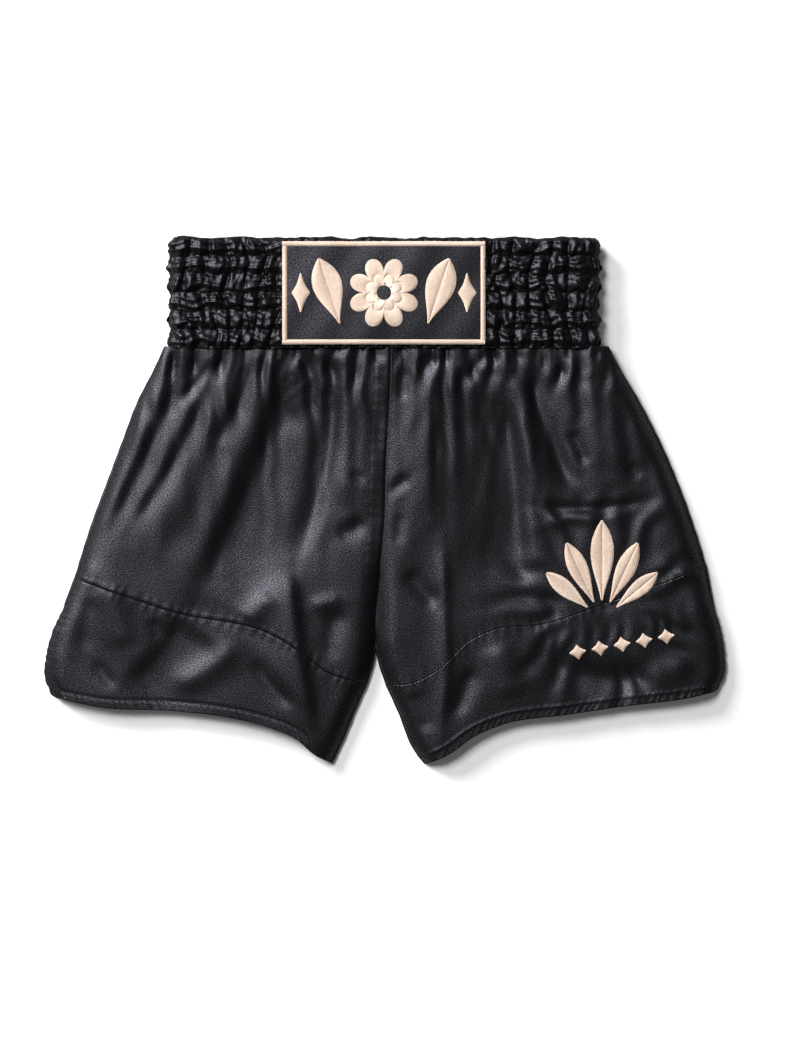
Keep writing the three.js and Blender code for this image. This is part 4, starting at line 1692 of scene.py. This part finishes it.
class Motif:
    """Outlines of the ornaments, in millimetres about their own origin."""

    @staticmethod
    def petal(width: float, length: float) -> np.ndarray:
        """A pointed petal standing on its foot.

        Args:
            width: About its width.
            length: Foot to tip.

        Returns:
            Its outline.
        """
        t = np.linspace(0, 1, 24)
        x = 3 * (1 - t) ** 2 * t * 0.12 * width + 3 * (1 - t) * t**2 * 1.15 * width
        y = 3 * (1 - t) ** 2 * t * 0.3 * length + 3 * (1 - t) * t**2 * 0.62 * length + t**3 * length
        return np.concatenate([np.stack([x, y], -1), np.stack([-x, y], -1)[::-1][1:-1]])

    @staticmethod
    def half_petal(width: float, length: float, side: int) -> np.ndarray:
        """One side of the petal, up to its middle vein.

        Args:
            width: About the petal's width.
            length: Foot to tip.
            side: 1 or -1.

        Returns:
            Its outline.
        """
        whole = Motif.petal(width, length)[:24]
        vein = np.stack([np.full(12, 0.12), np.linspace(length * 0.97, 0.0, 12)], -1)
        return np.concatenate([whole, vein]) * np.array([side, 1])

    @staticmethod
    def lozenge(width: float, height: float) -> np.ndarray:
        """A diamond with slightly hollow sides.

        Args:
            width: Tip to tip across.
            height: Tip to tip upwards.

        Returns:
            Its outline.
        """
        corners = np.array([(0, -height / 2), (width / 2, 0), (0, height / 2), (-width / 2, 0)])
        sides = []
        for a, b in zip(corners, np.roll(corners, -1, axis=0)):
            t = np.linspace(0, 1, 9)[:-1, None]
            sides.append((a * (1 - t) + b * t) * (1 - 0.16 * np.sin(math.pi * t)))
        return np.concatenate(sides)

    @staticmethod
    def turned(outline: np.ndarray, degrees: float, to: Place) -> np.ndarray:
        """The outline turned and moved.

        Args:
            outline: Corners.
            degrees: Turn, counter-clockwise.
            to: Where its origin goes.

        Returns:
            The corners there.
        """
        a = math.radians(degrees)
        turn = np.array([[math.cos(a), math.sin(a)], [-math.sin(a), math.cos(a)]])
        return outline @ turn + np.array(to)


@dataclass
class SatinStitch:
    """Fills outlines with close parallel threads."""

    ground: Callable[[float, float], float]
    pitch: float = 0.5
    lift: float = 0.75
    ragged: float = 0.25
    slant: float = 38.0
    seed: int = 2

    def thread(self, a: np.ndarray, b: np.ndarray) -> np.ndarray:
        """One thread, arched over the ground.

        Args:
            a: Its start, in millimetres.
            b: Its end.

        Returns:
            Points in metres.
        """
        points = []
        for share in np.linspace(0, 1, 6):
            x, y = (a * (1 - share) + b * share)[:2]
            arch = self.lift * (1 - (2 * share - 1) ** 4) + 0.1
            points.append((x * MM, y * MM, self.ground(x, y) + arch * MM))
        return np.array(points)

    def fill(self, outline: np.ndarray, degrees: float) -> list[np.ndarray]:
        """Threads across an outline.

        Args:
            outline: Corners in millimetres.
            degrees: Direction of the threads.

        Returns:
            Threads in metres.
        """
        rng = np.random.default_rng(self.seed)
        a = math.radians(degrees)
        turn = np.array([[math.cos(a), -math.sin(a)], [math.sin(a), math.cos(a)]])
        flat = outline @ turn
        after = np.roll(flat, -1, axis=0)
        threads = []
        for level in np.arange(flat[:, 1].min() + self.pitch / 2, flat[:, 1].max(), self.pitch):
            cross = (flat[:, 1] > level) != (after[:, 1] > level)
            p, q = flat[cross], after[cross]
            x = np.sort(p[:, 0] + (level - p[:, 1]) / (q[:, 1] - p[:, 1]) * (q[:, 0] - p[:, 0]))
            for left, right in zip(x[::2], x[1::2]):
                if right - left < 0.5:
                    continue
                left -= rng.uniform(0, self.ragged)
                right += rng.uniform(0, self.ragged)
                ends = np.array([(left, level), (right, level)]) @ turn.T
                threads.append(self.thread(ends[0], ends[1]))
        return threads

    def petal(self, width: float, length: float, degrees: float, foot: Place) -> list[np.ndarray]:
        """A petal in two halves, whose threads slant up from the vein.

        Args:
            width: About its width.
            length: Foot to tip.
            degrees: Its turn.
            foot: Where it stands.

        Returns:
            Threads in metres.
        """
        lines = []
        for side in (1, -1):
            outline = Motif.turned(Motif.half_petal(width, length, side), degrees, foot)
            lines += self.fill(outline, degrees + side * self.slant)
        return lines

    def rosette(self, middle: Place, radius: float, eye: float, petals: int) -> list[np.ndarray]:
        """A flower of threads that run outwards from an open eye.

        Args:
            middle: Its middle.
            radius: Middle to the tip of a petal.
            eye: Radius of the eye.
            petals: How many.

        Returns:
            Threads in metres.
        """
        count = int(2 * math.pi * radius * 0.8 / self.pitch)
        threads = []
        for turn in np.linspace(0, 2 * math.pi, count, endpoint=False):
            reach = radius * (0.52 + 0.48 * math.sqrt(abs(math.sin(turn * petals / 2))))
            way = np.array([math.cos(turn), math.sin(turn)])
            split = eye + (reach - eye) * 0.42
            for low, high in ((eye, split), (split - 0.4, reach)):
                threads.append(self.thread(np.array(middle) + way * low, np.array(middle) + way * high))
        return threads


@dataclass
class WaistPatch:
    """The embroidered patch on the middle of the waistband."""

    wardrobe: Wardrobe
    threads: ThreadGroup

    def __post_init__(self) -> None:
        """Takes its place from the frame."""
        low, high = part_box("patch_border")
        self.low, self.high = low / MM, high / MM
        self.top = float(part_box("waist_patch")[1][2])
        self.middle = ((self.low[0] + self.high[0]) / 2, (self.low[1] + self.high[1]) / 2)

    def height(self, x: float, y: float) -> float:
        """Height of the patch's face: slightly pillowed, with a faint warp.

        Args:
            x: First coordinate, in millimetres.
            y: Second coordinate.

        Returns:
            Metres.
        """
        u = (x - self.low[0]) / (self.high[0] - self.low[0])
        v = (y - self.low[1]) / (self.high[1] - self.low[1])
        pillow = 1.3 * (max(u * (1 - u), 0) * 4) ** 0.5 * (max(v * (1 - v), 0) * 4) ** 0.5
        warp = 0.5 * math.sin(x / 15.0 + 1 + y / 40.0) * math.sin(y / 14.0)
        warp += 0.2 * math.sin(x / 6.0 - y / 9.0)
        return self.top + (pillow + warp - 0.6) * MM

    def finish(self) -> None:
        """Makes the ground, the border and the ornaments."""
        xs = np.linspace(self.low[0] + 0.5, self.high[0] - 0.5, 120)
        ys = np.linspace(self.high[1] - 0.5, self.low[1] + 0.5, 64)
        grid = np.array([[(x * MM, y * MM, self.height(x, y)) for x in xs] for y in ys])
        smooth_solid(
            "patch_ground",
            grid,
            self.wardrobe.patch_satin,
            1.1,
            "satin",
            ["waist_patch"],
            held=Held.STRETCHED,
            rests_on=["satin_casing_front_middle"],
        )
        stitch = SatinStitch(self.height, lift=0.8)
        sew = self.threads.sew
        sew("border_stitch", self.border(stitch), "patch_border")
        low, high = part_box("patch_rosette")
        radius = (high[0] - low[0]) / 2 / MM
        sew("rosette_stitch", stitch.rosette(self.middle, radius * 1.06, radius * 0.22, 8), "patch_rosette")
        for side, sign in (("left", 1), ("right", -1)):
            low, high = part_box(f"patch_leaf_{side}")
            foot = (float(low[0] if sign > 0 else high[0]) / MM + sign * 2.6, float(low[1]) / MM)
            length = (high[1] - low[1]) / MM / math.cos(math.radians(18)) * 1.02
            lines = stitch.petal(21.5, length, -18.0 * sign, foot)
            sew(f"leaf_stitch_{side}", lines, f"patch_leaf_{side}")
            low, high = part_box(f"patch_lozenge_{side}")
            outline = Motif.turned(
                Motif.lozenge((high[0] - low[0]) / MM, (high[1] - low[1]) / MM),
                0.0,
                ((low[0] + high[0]) / 2 / MM, (low[1] + high[1]) / 2 / MM),
            )
            sew(f"lozenge_stitch_{side}", stitch.fill(outline, 0.0), f"patch_lozenge_{side}")

    def border(self, stitch: SatinStitch, width: float = 3.6) -> list[np.ndarray]:
        """Short threads square to the patch's edge.

        Args:
            stitch: How the threads are laid.
            width: Width of the border, in millimetres.

        Returns:
            Threads in metres.
        """
        rng = np.random.default_rng(8)
        threads = []
        left, bottom, right, top = self.low[0], self.low[1], self.high[0], self.high[1]
        for x in np.arange(left, right, stitch.pitch):
            for outer, inwards in ((top, -width), (bottom, width)):
                wide = rng.uniform(-0.15, 0.15)
                threads.append(stitch.thread(np.array([x, outer + wide]), np.array([x, outer + inwards])))
        for y in np.arange(bottom + width, top - width, stitch.pitch):
            for outer, inwards in ((left, width), (right, -width)):
                wide = rng.uniform(-0.15, 0.15)
                threads.append(stitch.thread(np.array([outer + wide, y]), np.array([outer + inwards, y])))
        return threads


class Surface:
    """The front of a leg, for sewing on."""

    def __init__(self, fronts: Sequence[FrontLeg]) -> None:
        """Gathers the fronts' faces.

        Args:
            fronts: The settled fronts.
        """
        points, faces, start = [], [], 0
        for front in fronts:
            rows, cols = front.grid.shape[:2]
            index = np.arange(rows * cols).reshape(rows, cols) + start
            quads = np.stack([index[:-1, :-1], index[1:, :-1], index[1:, 1:], index[:-1, 1:]], -1)
            faces.extend(quads.reshape(-1, 4).tolist())
            points.extend(front.grid.reshape(-1, 3).tolist())
            start += rows * cols
        self.tree = BVHTree.FromPolygons(points, faces)

    def height(self, x: float, y: float) -> float:
        """Height of the cloth at x, y in millimetres; the result is in metres."""
        hit = self.tree.ray_cast(Vector((x * MM, y * MM, 0.1)), Vector((0, 0, -1)))
        return hit[0].z if hit[0] is not None else 0.01


@dataclass
class LegEmblem:
    """A fan of petals and a row of lozenges on the wearer's left leg."""

    wardrobe: Wardrobe
    threads: ThreadGroup
    surface: Surface
    fan: float = 25.0
    shrink: float = 0.83
    petal: Place = (17.0, 68.0)
    foot_ring: float = 12.0
    lozenge: Place = (14.0, 12.0)
    tilt: float = 10.0
    backing_drop: float = 0.9

    def finish(self) -> None:
        """Makes the petals, the row and the backing."""
        stitch = SatinStitch(self.surface.height, lift=0.7, seed=6)
        low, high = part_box("emblem_petal_3")
        foot = ((low[0] + high[0]) / 2 / MM, low[1] / MM - self.foot_ring)
        for i in range(5):
            angle = -self.fan * (i - 2)
            shrink = self.shrink ** abs(i - 2)
            a = math.radians(angle)
            place = (foot[0] - math.sin(a) * self.foot_ring, foot[1] + math.cos(a) * self.foot_ring)
            lines = stitch.petal(self.petal[0] * shrink, self.petal[1] * shrink, angle, place)
            self.threads.sew(f"petal_stitch_{i + 1}", lines, f"emblem_petal_{i + 1}")
        for i in range(5):
            low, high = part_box(f"emblem_bead_{i + 1}")
            middle = ((low[0] + high[0]) / 2 / MM, (low[1] + high[1]) / 2 / MM)
            outline = Motif.turned(Motif.lozenge(*self.lozenge), self.tilt, middle)
            lines = stitch.fill(outline, 90.0 + self.tilt)
            self.threads.sew(f"bead_stitch_{i + 1}", lines, f"emblem_bead_{i + 1}")
        self.backing()

    def backing(self, rings: int = 22, points: int = 49) -> None:
        """Makes the oval of felt behind the emblem.

        Args:
            rings: Rings of points from the middle to the rim.
            points: Points on each ring.
        """
        low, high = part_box("emblem_backing")
        middle, half = (low + high) / 2 / MM, (high - low) / 2 / MM
        grid = []
        for share in np.linspace(0.02, 1, rings):
            ring = []
            for turn in np.linspace(0, 2 * math.pi, points):
                x = middle[0] + half[0] * share * math.cos(turn)
                y = middle[1] + half[1] * share * math.sin(turn)
                ring.append((x * MM, y * MM, self.surface.height(x, y) - self.backing_drop * MM))
            grid.append(ring)
        smooth_solid(
            "felt_emblem_backing",
            np.array(grid),
            self.wardrobe.backing,
            0.3,
            "backing",
            ["emblem_backing"],
            self.oval(half, rings, points),
            upwards=False,
            offset=0.0,
        )

    @staticmethod
    def oval(half: np.ndarray, rows: int, cols: int) -> np.ndarray:
        """The flat shape of the backing.

        Args:
            half: Half its width and half its length, in millimetres.
            rows: Rings of points.
            cols: Points on each ring.

        Returns:
            Rows by cols by 2, in metres.
        """
        share = np.linspace(0.02, 1, rows)[:, None]
        turn = np.linspace(0, 2 * math.pi, cols)[None, :]
        return np.stack([half[0] * share * np.cos(turn), half[1] * share * np.sin(turn)], -1) * MM


@dataclass
class CareLabel:
    """A blank woven label inside the back of the waistband."""

    wardrobe: Wardrobe

    def finish(self) -> None:
        """Makes the label."""
        low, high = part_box("care_label")
        u = np.linspace(0, 1, 24)[None, :]
        v = np.linspace(0, 1, 32)[:, None]
        x = low[0] + (high[0] - low[0]) * u + 0 * v
        y = high[1] + (low[1] - high[1]) * v + 0 * u
        z = low[2] + (0.5 + 1.4 * v**2 + 0.4 * np.sin(u * 5 + v * 3)) * MM
        grid = np.stack([x, y, z], -1)
        rests_on = ["lining_cloth_back"]
        smooth_solid(
            "woven_care_label", grid, self.wardrobe.label, 0.25, "label", ["care_label"], rests_on=rests_on
        )


@dataclass
class Topstitching:
    """Every visible line of stitches in black thread."""

    stitches: StitchGroup
    fronts: Sequence[FrontLeg]
    band: Waistband

    def finish(self) -> None:
        """Sews each line."""
        for front in self.fronts:
            leg = front.pattern.leg.value
            self.sew(f"hem_stitches_{leg}", [front.line_above_hem(8.0)])
            self.sew(f"vent_stitches_{leg}", [front.line_from_side(8.0, -86.0, -150.0)])
            self.sew(f"band_seam_stitches_{leg}", [front.seam_line(0.0), front.seam_line(-2.7)])
            if front.pattern.leg is Leg.RIGHT:
                ends = ((1.2, -54.0), (13.0, -50.0))
                self.sew("rise_stitches", [front.line_from_side(away, 122.0, low, True) for away, low in ends])
        step = self.band.per_channel * 2
        lines = []
        for grid in (self.band.front, self.band.back):
            face = 1 if grid is self.band.front else -1
            for row in range(step, len(grid), step):
                line = grid[min(row, len(grid) - 2)][4:-4] + np.array([0, 0, face * 0.25 * MM])
                line[:, 2] = np.maximum(line[:, 2], 0.5 * MM)
                lines.append(line)
        self.sew("shirring_stitches", lines)

    def sew(self, name: str, lines: list[np.ndarray]) -> None:
        """Makes the stitches along some lines."""
        piece = self.stitches.use([line[::2] for line in lines], name)
        Sheets.place(piece, "satin", [], None)


@dataclass
class Shorts:
    """The whole pair."""

    wardrobe: Wardrobe
    fronts: list[FrontLeg] = field(default_factory=list)

    @staticmethod
    def patterns() -> list[LegPattern]:
        """The two legs as they lie.

        Returns:
            The right leg and the left one, in the order in which they are made.
        """
        right = LegPattern(
            leg=Leg.RIGHT,
            upper=Edge(((-175, 125), (-120, 124), (-60, 124), (6, 124))),
            outer=Edge(
                (
                    (-175, 125), (-183, 108), (-197, 81), (-209, 50),
                    (-221, 18), (-233, -14), (-248, -61),
                )
            ),
            inner=Edge(
                (
                    (6, 124), (5, 90), (2, 34), (0, -22),
                    (-4, -60), (-7, -112), (-10, -130), (-15, -146),
                )
            ),
            seam=Edge(
                (
                    (-248, -61), (-208, -75), (-158, -91), (-125, -96),
                    (-98, -103), (-70, -118), (-44, -138), (-15, -146),
                )
            ),
            vent=Edge(((-248, -61), (-258, -84), (-268, -106), (-272.5, -124), (-273.5, -142), (-268, -156))),
            hem=Edge(
                (
                    (-268, -156), (-227, -165), (-167, -168), (-119, -174),
                    (-95, -180), (-71, -190), (-56, -203), (-43, -210),
                )
            ),
            inseam=Edge(((-15, -146), (-23, -164), (-35, -193), (-43, -210))),
            folds=(
                Fold(((-155, 120), (-184, 52), (-232, -46)), 9, 5, -3.6),
                Fold(((-134, 114), (-150, 96), (-166, 76)), 5, 4, -3.0),
                Fold(((-138, 98), (-168, 34), (-206, -28)), 8, 4, -3.0),
                Fold(((-99, 119), (-118, 76), (-134, 42)), 10, 5, -3.4),
                Fold(((-130, 50), (-150, 0), (-178, -50)), 14, 9, -1.6),
                Fold(((-72, 116), (-86, 68), (-112, 2), (-150, -84)), 58, 10, -7.5),
                Fold(((-158, -92), (-180, -125), (-205, -152)), 40, 8, -4.4),
                Fold(((-38, 104), (-43, 50), (-56, -9), (-73, -54)), 5, 13, -4.8),
                Fold(((-25, 100), (-28, 50), (-34, -10)), 12, 10, 2.0),
                Fold(((-77, -50), (-71, -105), (-64, -150), (-57, -192)), 5, 22, 4.8),
                Fold(((-38, -28), (-26, -21), (-14, -14)), 5, 8, -2.6),
                Fold(((-27, 22), (-20, 20), (-14, 18)), 3, 4, -1.6),
                Fold(((-118, -116), (-145, -136), (-171, -150)), 10, 9, 3.2),
                Fold(((-107, -126), (-90, -148), (-70, -167)), 7, 6, -2.6),
                Fold(((-112, -97), (-100, -84), (-88, -72)), 8, 9, 3.0),
                Fold(((-59, -84), (-46, -80), (-32, -78)), 4, 8, 2.4),
                Fold(((-36, -84), (-42, -104), (-46, -130)), 8, 7, -2.2),
                Fold(((-222, -64), (-214, -90), (-206, -120)), 10, 12, 2.6),
                Fold(((-234, -74), (-238, -96), (-240, -124)), 7, 7, -1.8),
                Fold(((-186, -94), (-182, -104), (-184, -112)), 5, 5, -2.2),
                Fold(((-232, -128), (-224, -140), (-214, -150)), 5, 5, -2.0),
                Fold(((-62, 118), (-58, 92), (-60, 62)), 5, 6, -2.2),
            ),
            seed=11,
        )
        left = LegPattern(
            leg=Leg.LEFT,
            upper=Edge(((179, 125), (120, 124), (60, 124), (6, 124))),
            outer=Edge(((179, 125), (188, 108), (204, 81), (220, 50), (234, 18), (246, -14), (258, -52))),
            inner=Edge(((6, 124), (5, 90), (2, 34), (0, -22), (-4, -60), (-7, -112), (-3, -130), (3, -148))),
            seam=Edge(
                (
                    (258, -52), (214, -68), (173, -83), (121, -99), (93, -101),
                    (69, -111), (45, -134), (25, -145), (3, -148),
                )
            ),
            vent=Edge(((258, -52), (264, -78), (272, -106), (274.5, -124), (274.5, -138), (268, -152))),
            hem=Edge(
                (
                    (268, -152), (241, -158), (193, -164), (145, -171),
                    (97, -178), (73, -188), (52, -203), (34, -211),
                )
            ),
            inseam=Edge(((3, -148), (13, -170), (25, -199), (34, -211))),
            folds=(
                Fold(((36, 110), (37, 36), (38, -16)), 2.5, 10, 2.6),
                Fold(((96, 100), (102, 36), (109, -44), (112, -80)), 7, 38, -7.5),
                Fold(((69, 112), (70, 70), (72, 20)), 4, 4, 1.3),
                Fold(((86, 96), (86, 50), (85, 0)), 4, 4, 1.3),
                Fold(((56, 112), (55, 70), (57, 10)), 4, 4, 1.0),
                Fold(((96, 114), (109, 63), (121, 22), (128, 0)), 8, 7, 2.6),
                Fold(((117, 114), (127, 68), (146, 22), (160, 4)), 9, 7, -4.8),
                Fold(((149, 58), (155, 44), (163, 28)), 5, 5, -2.6),
                Fold(((166, 100), (178, 60), (186, 20)), 12, 12, 2.4),
                Fold(((122, -3), (168, -6), (216, 2)), 5, 4, -2.8),
                Fold(((128, -18), (150, -12), (178, -14)), 4, 5, 1.6),
                Fold(((196, 30), (200, 25), (205, 18)), 6, 6, -2.0),
                Fold(((18, 108), (16, 94), (15, 80)), 5, 5, -2.8),
                Fold(((5, 7), (13, 14), (21, 21)), 5, 4, -2.6),
                Fold(((13, -8), (12, -22), (11, -36)), 4, 4, -1.8),
                Fold(((18, -54), (30, -70), (45, -84)), 7, 7, -3.0),
                Fold(((48, -30), (49, -90), (50, -140), (46, -190)), 3, 5, 2.6),
                Fold(((72, -132), (64, -152), (55, -176)), 8, 6, -2.8),
                Fold(((90, -112), (98, -136), (104, -160)), 12, 12, 3.0),
                Fold(((24, -150), (30, -166), (36, -188)), 6, 7, -2.4),
                Fold(((120, -116), (142, -134), (176, -142), (224, -138)), 12, 10, -4.4),
                Fold(((214, -146), (232, -136), (250, -124)), 8, 9, 2.2),
                Fold(((126, -72), (136, -84), (132, -96)), 5, 5, -2.2),
                Fold(((222, -48), (236, -56), (248, -60)), 4, 5, 1.8),
                Fold(((160, -70), (176, -84), (192, -78)), 4, 4, -1.6),
            ),
            seed=29,
        )
        return [right, left]

    def build(self) -> None:
        """Builds the pieces in order."""
        band = Waistband(self.wardrobe)
        band.settle()
        band.finish()
        threads = ThreadGroup(self.wardrobe.peach)
        WaistPatch(self.wardrobe, threads).finish()
        CareLabel(self.wardrobe).finish()
        for pattern in self.patterns():
            front = FrontLeg(pattern, self.wardrobe)
            front.settle()
            front.finish()
            back = BackLeg(front, self.wardrobe)
            back.finish()
            LegTrim(front, back, self.wardrobe).finish()
            if pattern.leg is Leg.RIGHT:
                RiseSeams(front, back, self.wardrobe).finish()
            self.fronts.append(front)
        LegEmblem(self.wardrobe, threads, Surface(self.fronts)).finish()
        Topstitching(StitchGroup(self.wardrobe.black), self.fronts, band).finish()


@dataclass(frozen=True)
class Studio:
    """Pale floor, soft light and a camera straight above."""

    middle: tuple[float, float] = (0.0128, -0.0144)
    frame_long: float = 0.832
    lens: float = 85.0
    film: float = 36.0
    height: float = 0.02
    floor_reach: float = 4.0
    glow: float = 0.06

    def build(self, wardrobe: Wardrobe) -> None:
        """Sets up the floor, lights and camera.

        Args:
            wardrobe: The finishes.
        """
        reach = self.floor_reach
        corners = np.array([(-1, -1, 0), (1, -1, 0), (1, 1, 0), (-1, 1, 0)]) * reach
        floor = new_object("floor", corners, [[0, 1, 2, 3]])
        floor.data.materials.append(wardrobe.floor)
        self.light("key", (-1.3, 1.3, 2.95), 1.2, 108.0)
        self.light("side", (-2.3, 2.05, 1.5), 1.2, 214.0)
        world = bpy.data.worlds.new("studio") if not bpy.data.worlds else bpy.data.worlds[0]
        bpy.context.scene.world = world
        world.use_nodes = True
        sky = world.node_tree.nodes["Background"]
        sky.inputs[0].default_value = (1, 1, 1, 1)
        sky.inputs[1].default_value = self.glow
        camera = bpy.data.cameras.new("camera")
        camera.lens = self.lens
        camera.sensor_width = camera.sensor_height = self.film
        camera.sensor_fit = "VERTICAL"
        camera.clip_end = 20.0
        eye = bpy.data.objects.new("camera", camera)
        distance = self.frame_long * self.lens / self.film
        eye.location = (*self.middle, distance + self.height)
        bpy.context.scene.collection.objects.link(eye)
        bpy.context.scene.camera = eye
        bpy.context.scene.view_settings.view_transform = "Standard"

    @staticmethod
    def light(name: str, place: tuple[float, float, float], size: float, power: float) -> None:
        """A soft box that points at the shorts.

        Args:
            name: Name of the light.
            place: Where it stands, in metres.
            size: Side of the box.
            power: Watts.
        """
        data = bpy.data.lights.new(name, "AREA")
        data.size = size
        data.energy = power
        lamp = bpy.data.objects.new(name, data)
        lamp.location = place
        lamp.rotation_euler = Vector(place).to_track_quat("Z", "Y").to_euler()
        bpy.context.scene.collection.objects.link(lamp)


def main() -> None:
    """Builds the studio and the shorts."""
    logging.basicConfig(level=logging.INFO, format="%(message)s")
    wardrobe = Wardrobe()
    Studio().build(wardrobe)
    Shorts(wardrobe).build()


if __name__ == "__main__":
    main()
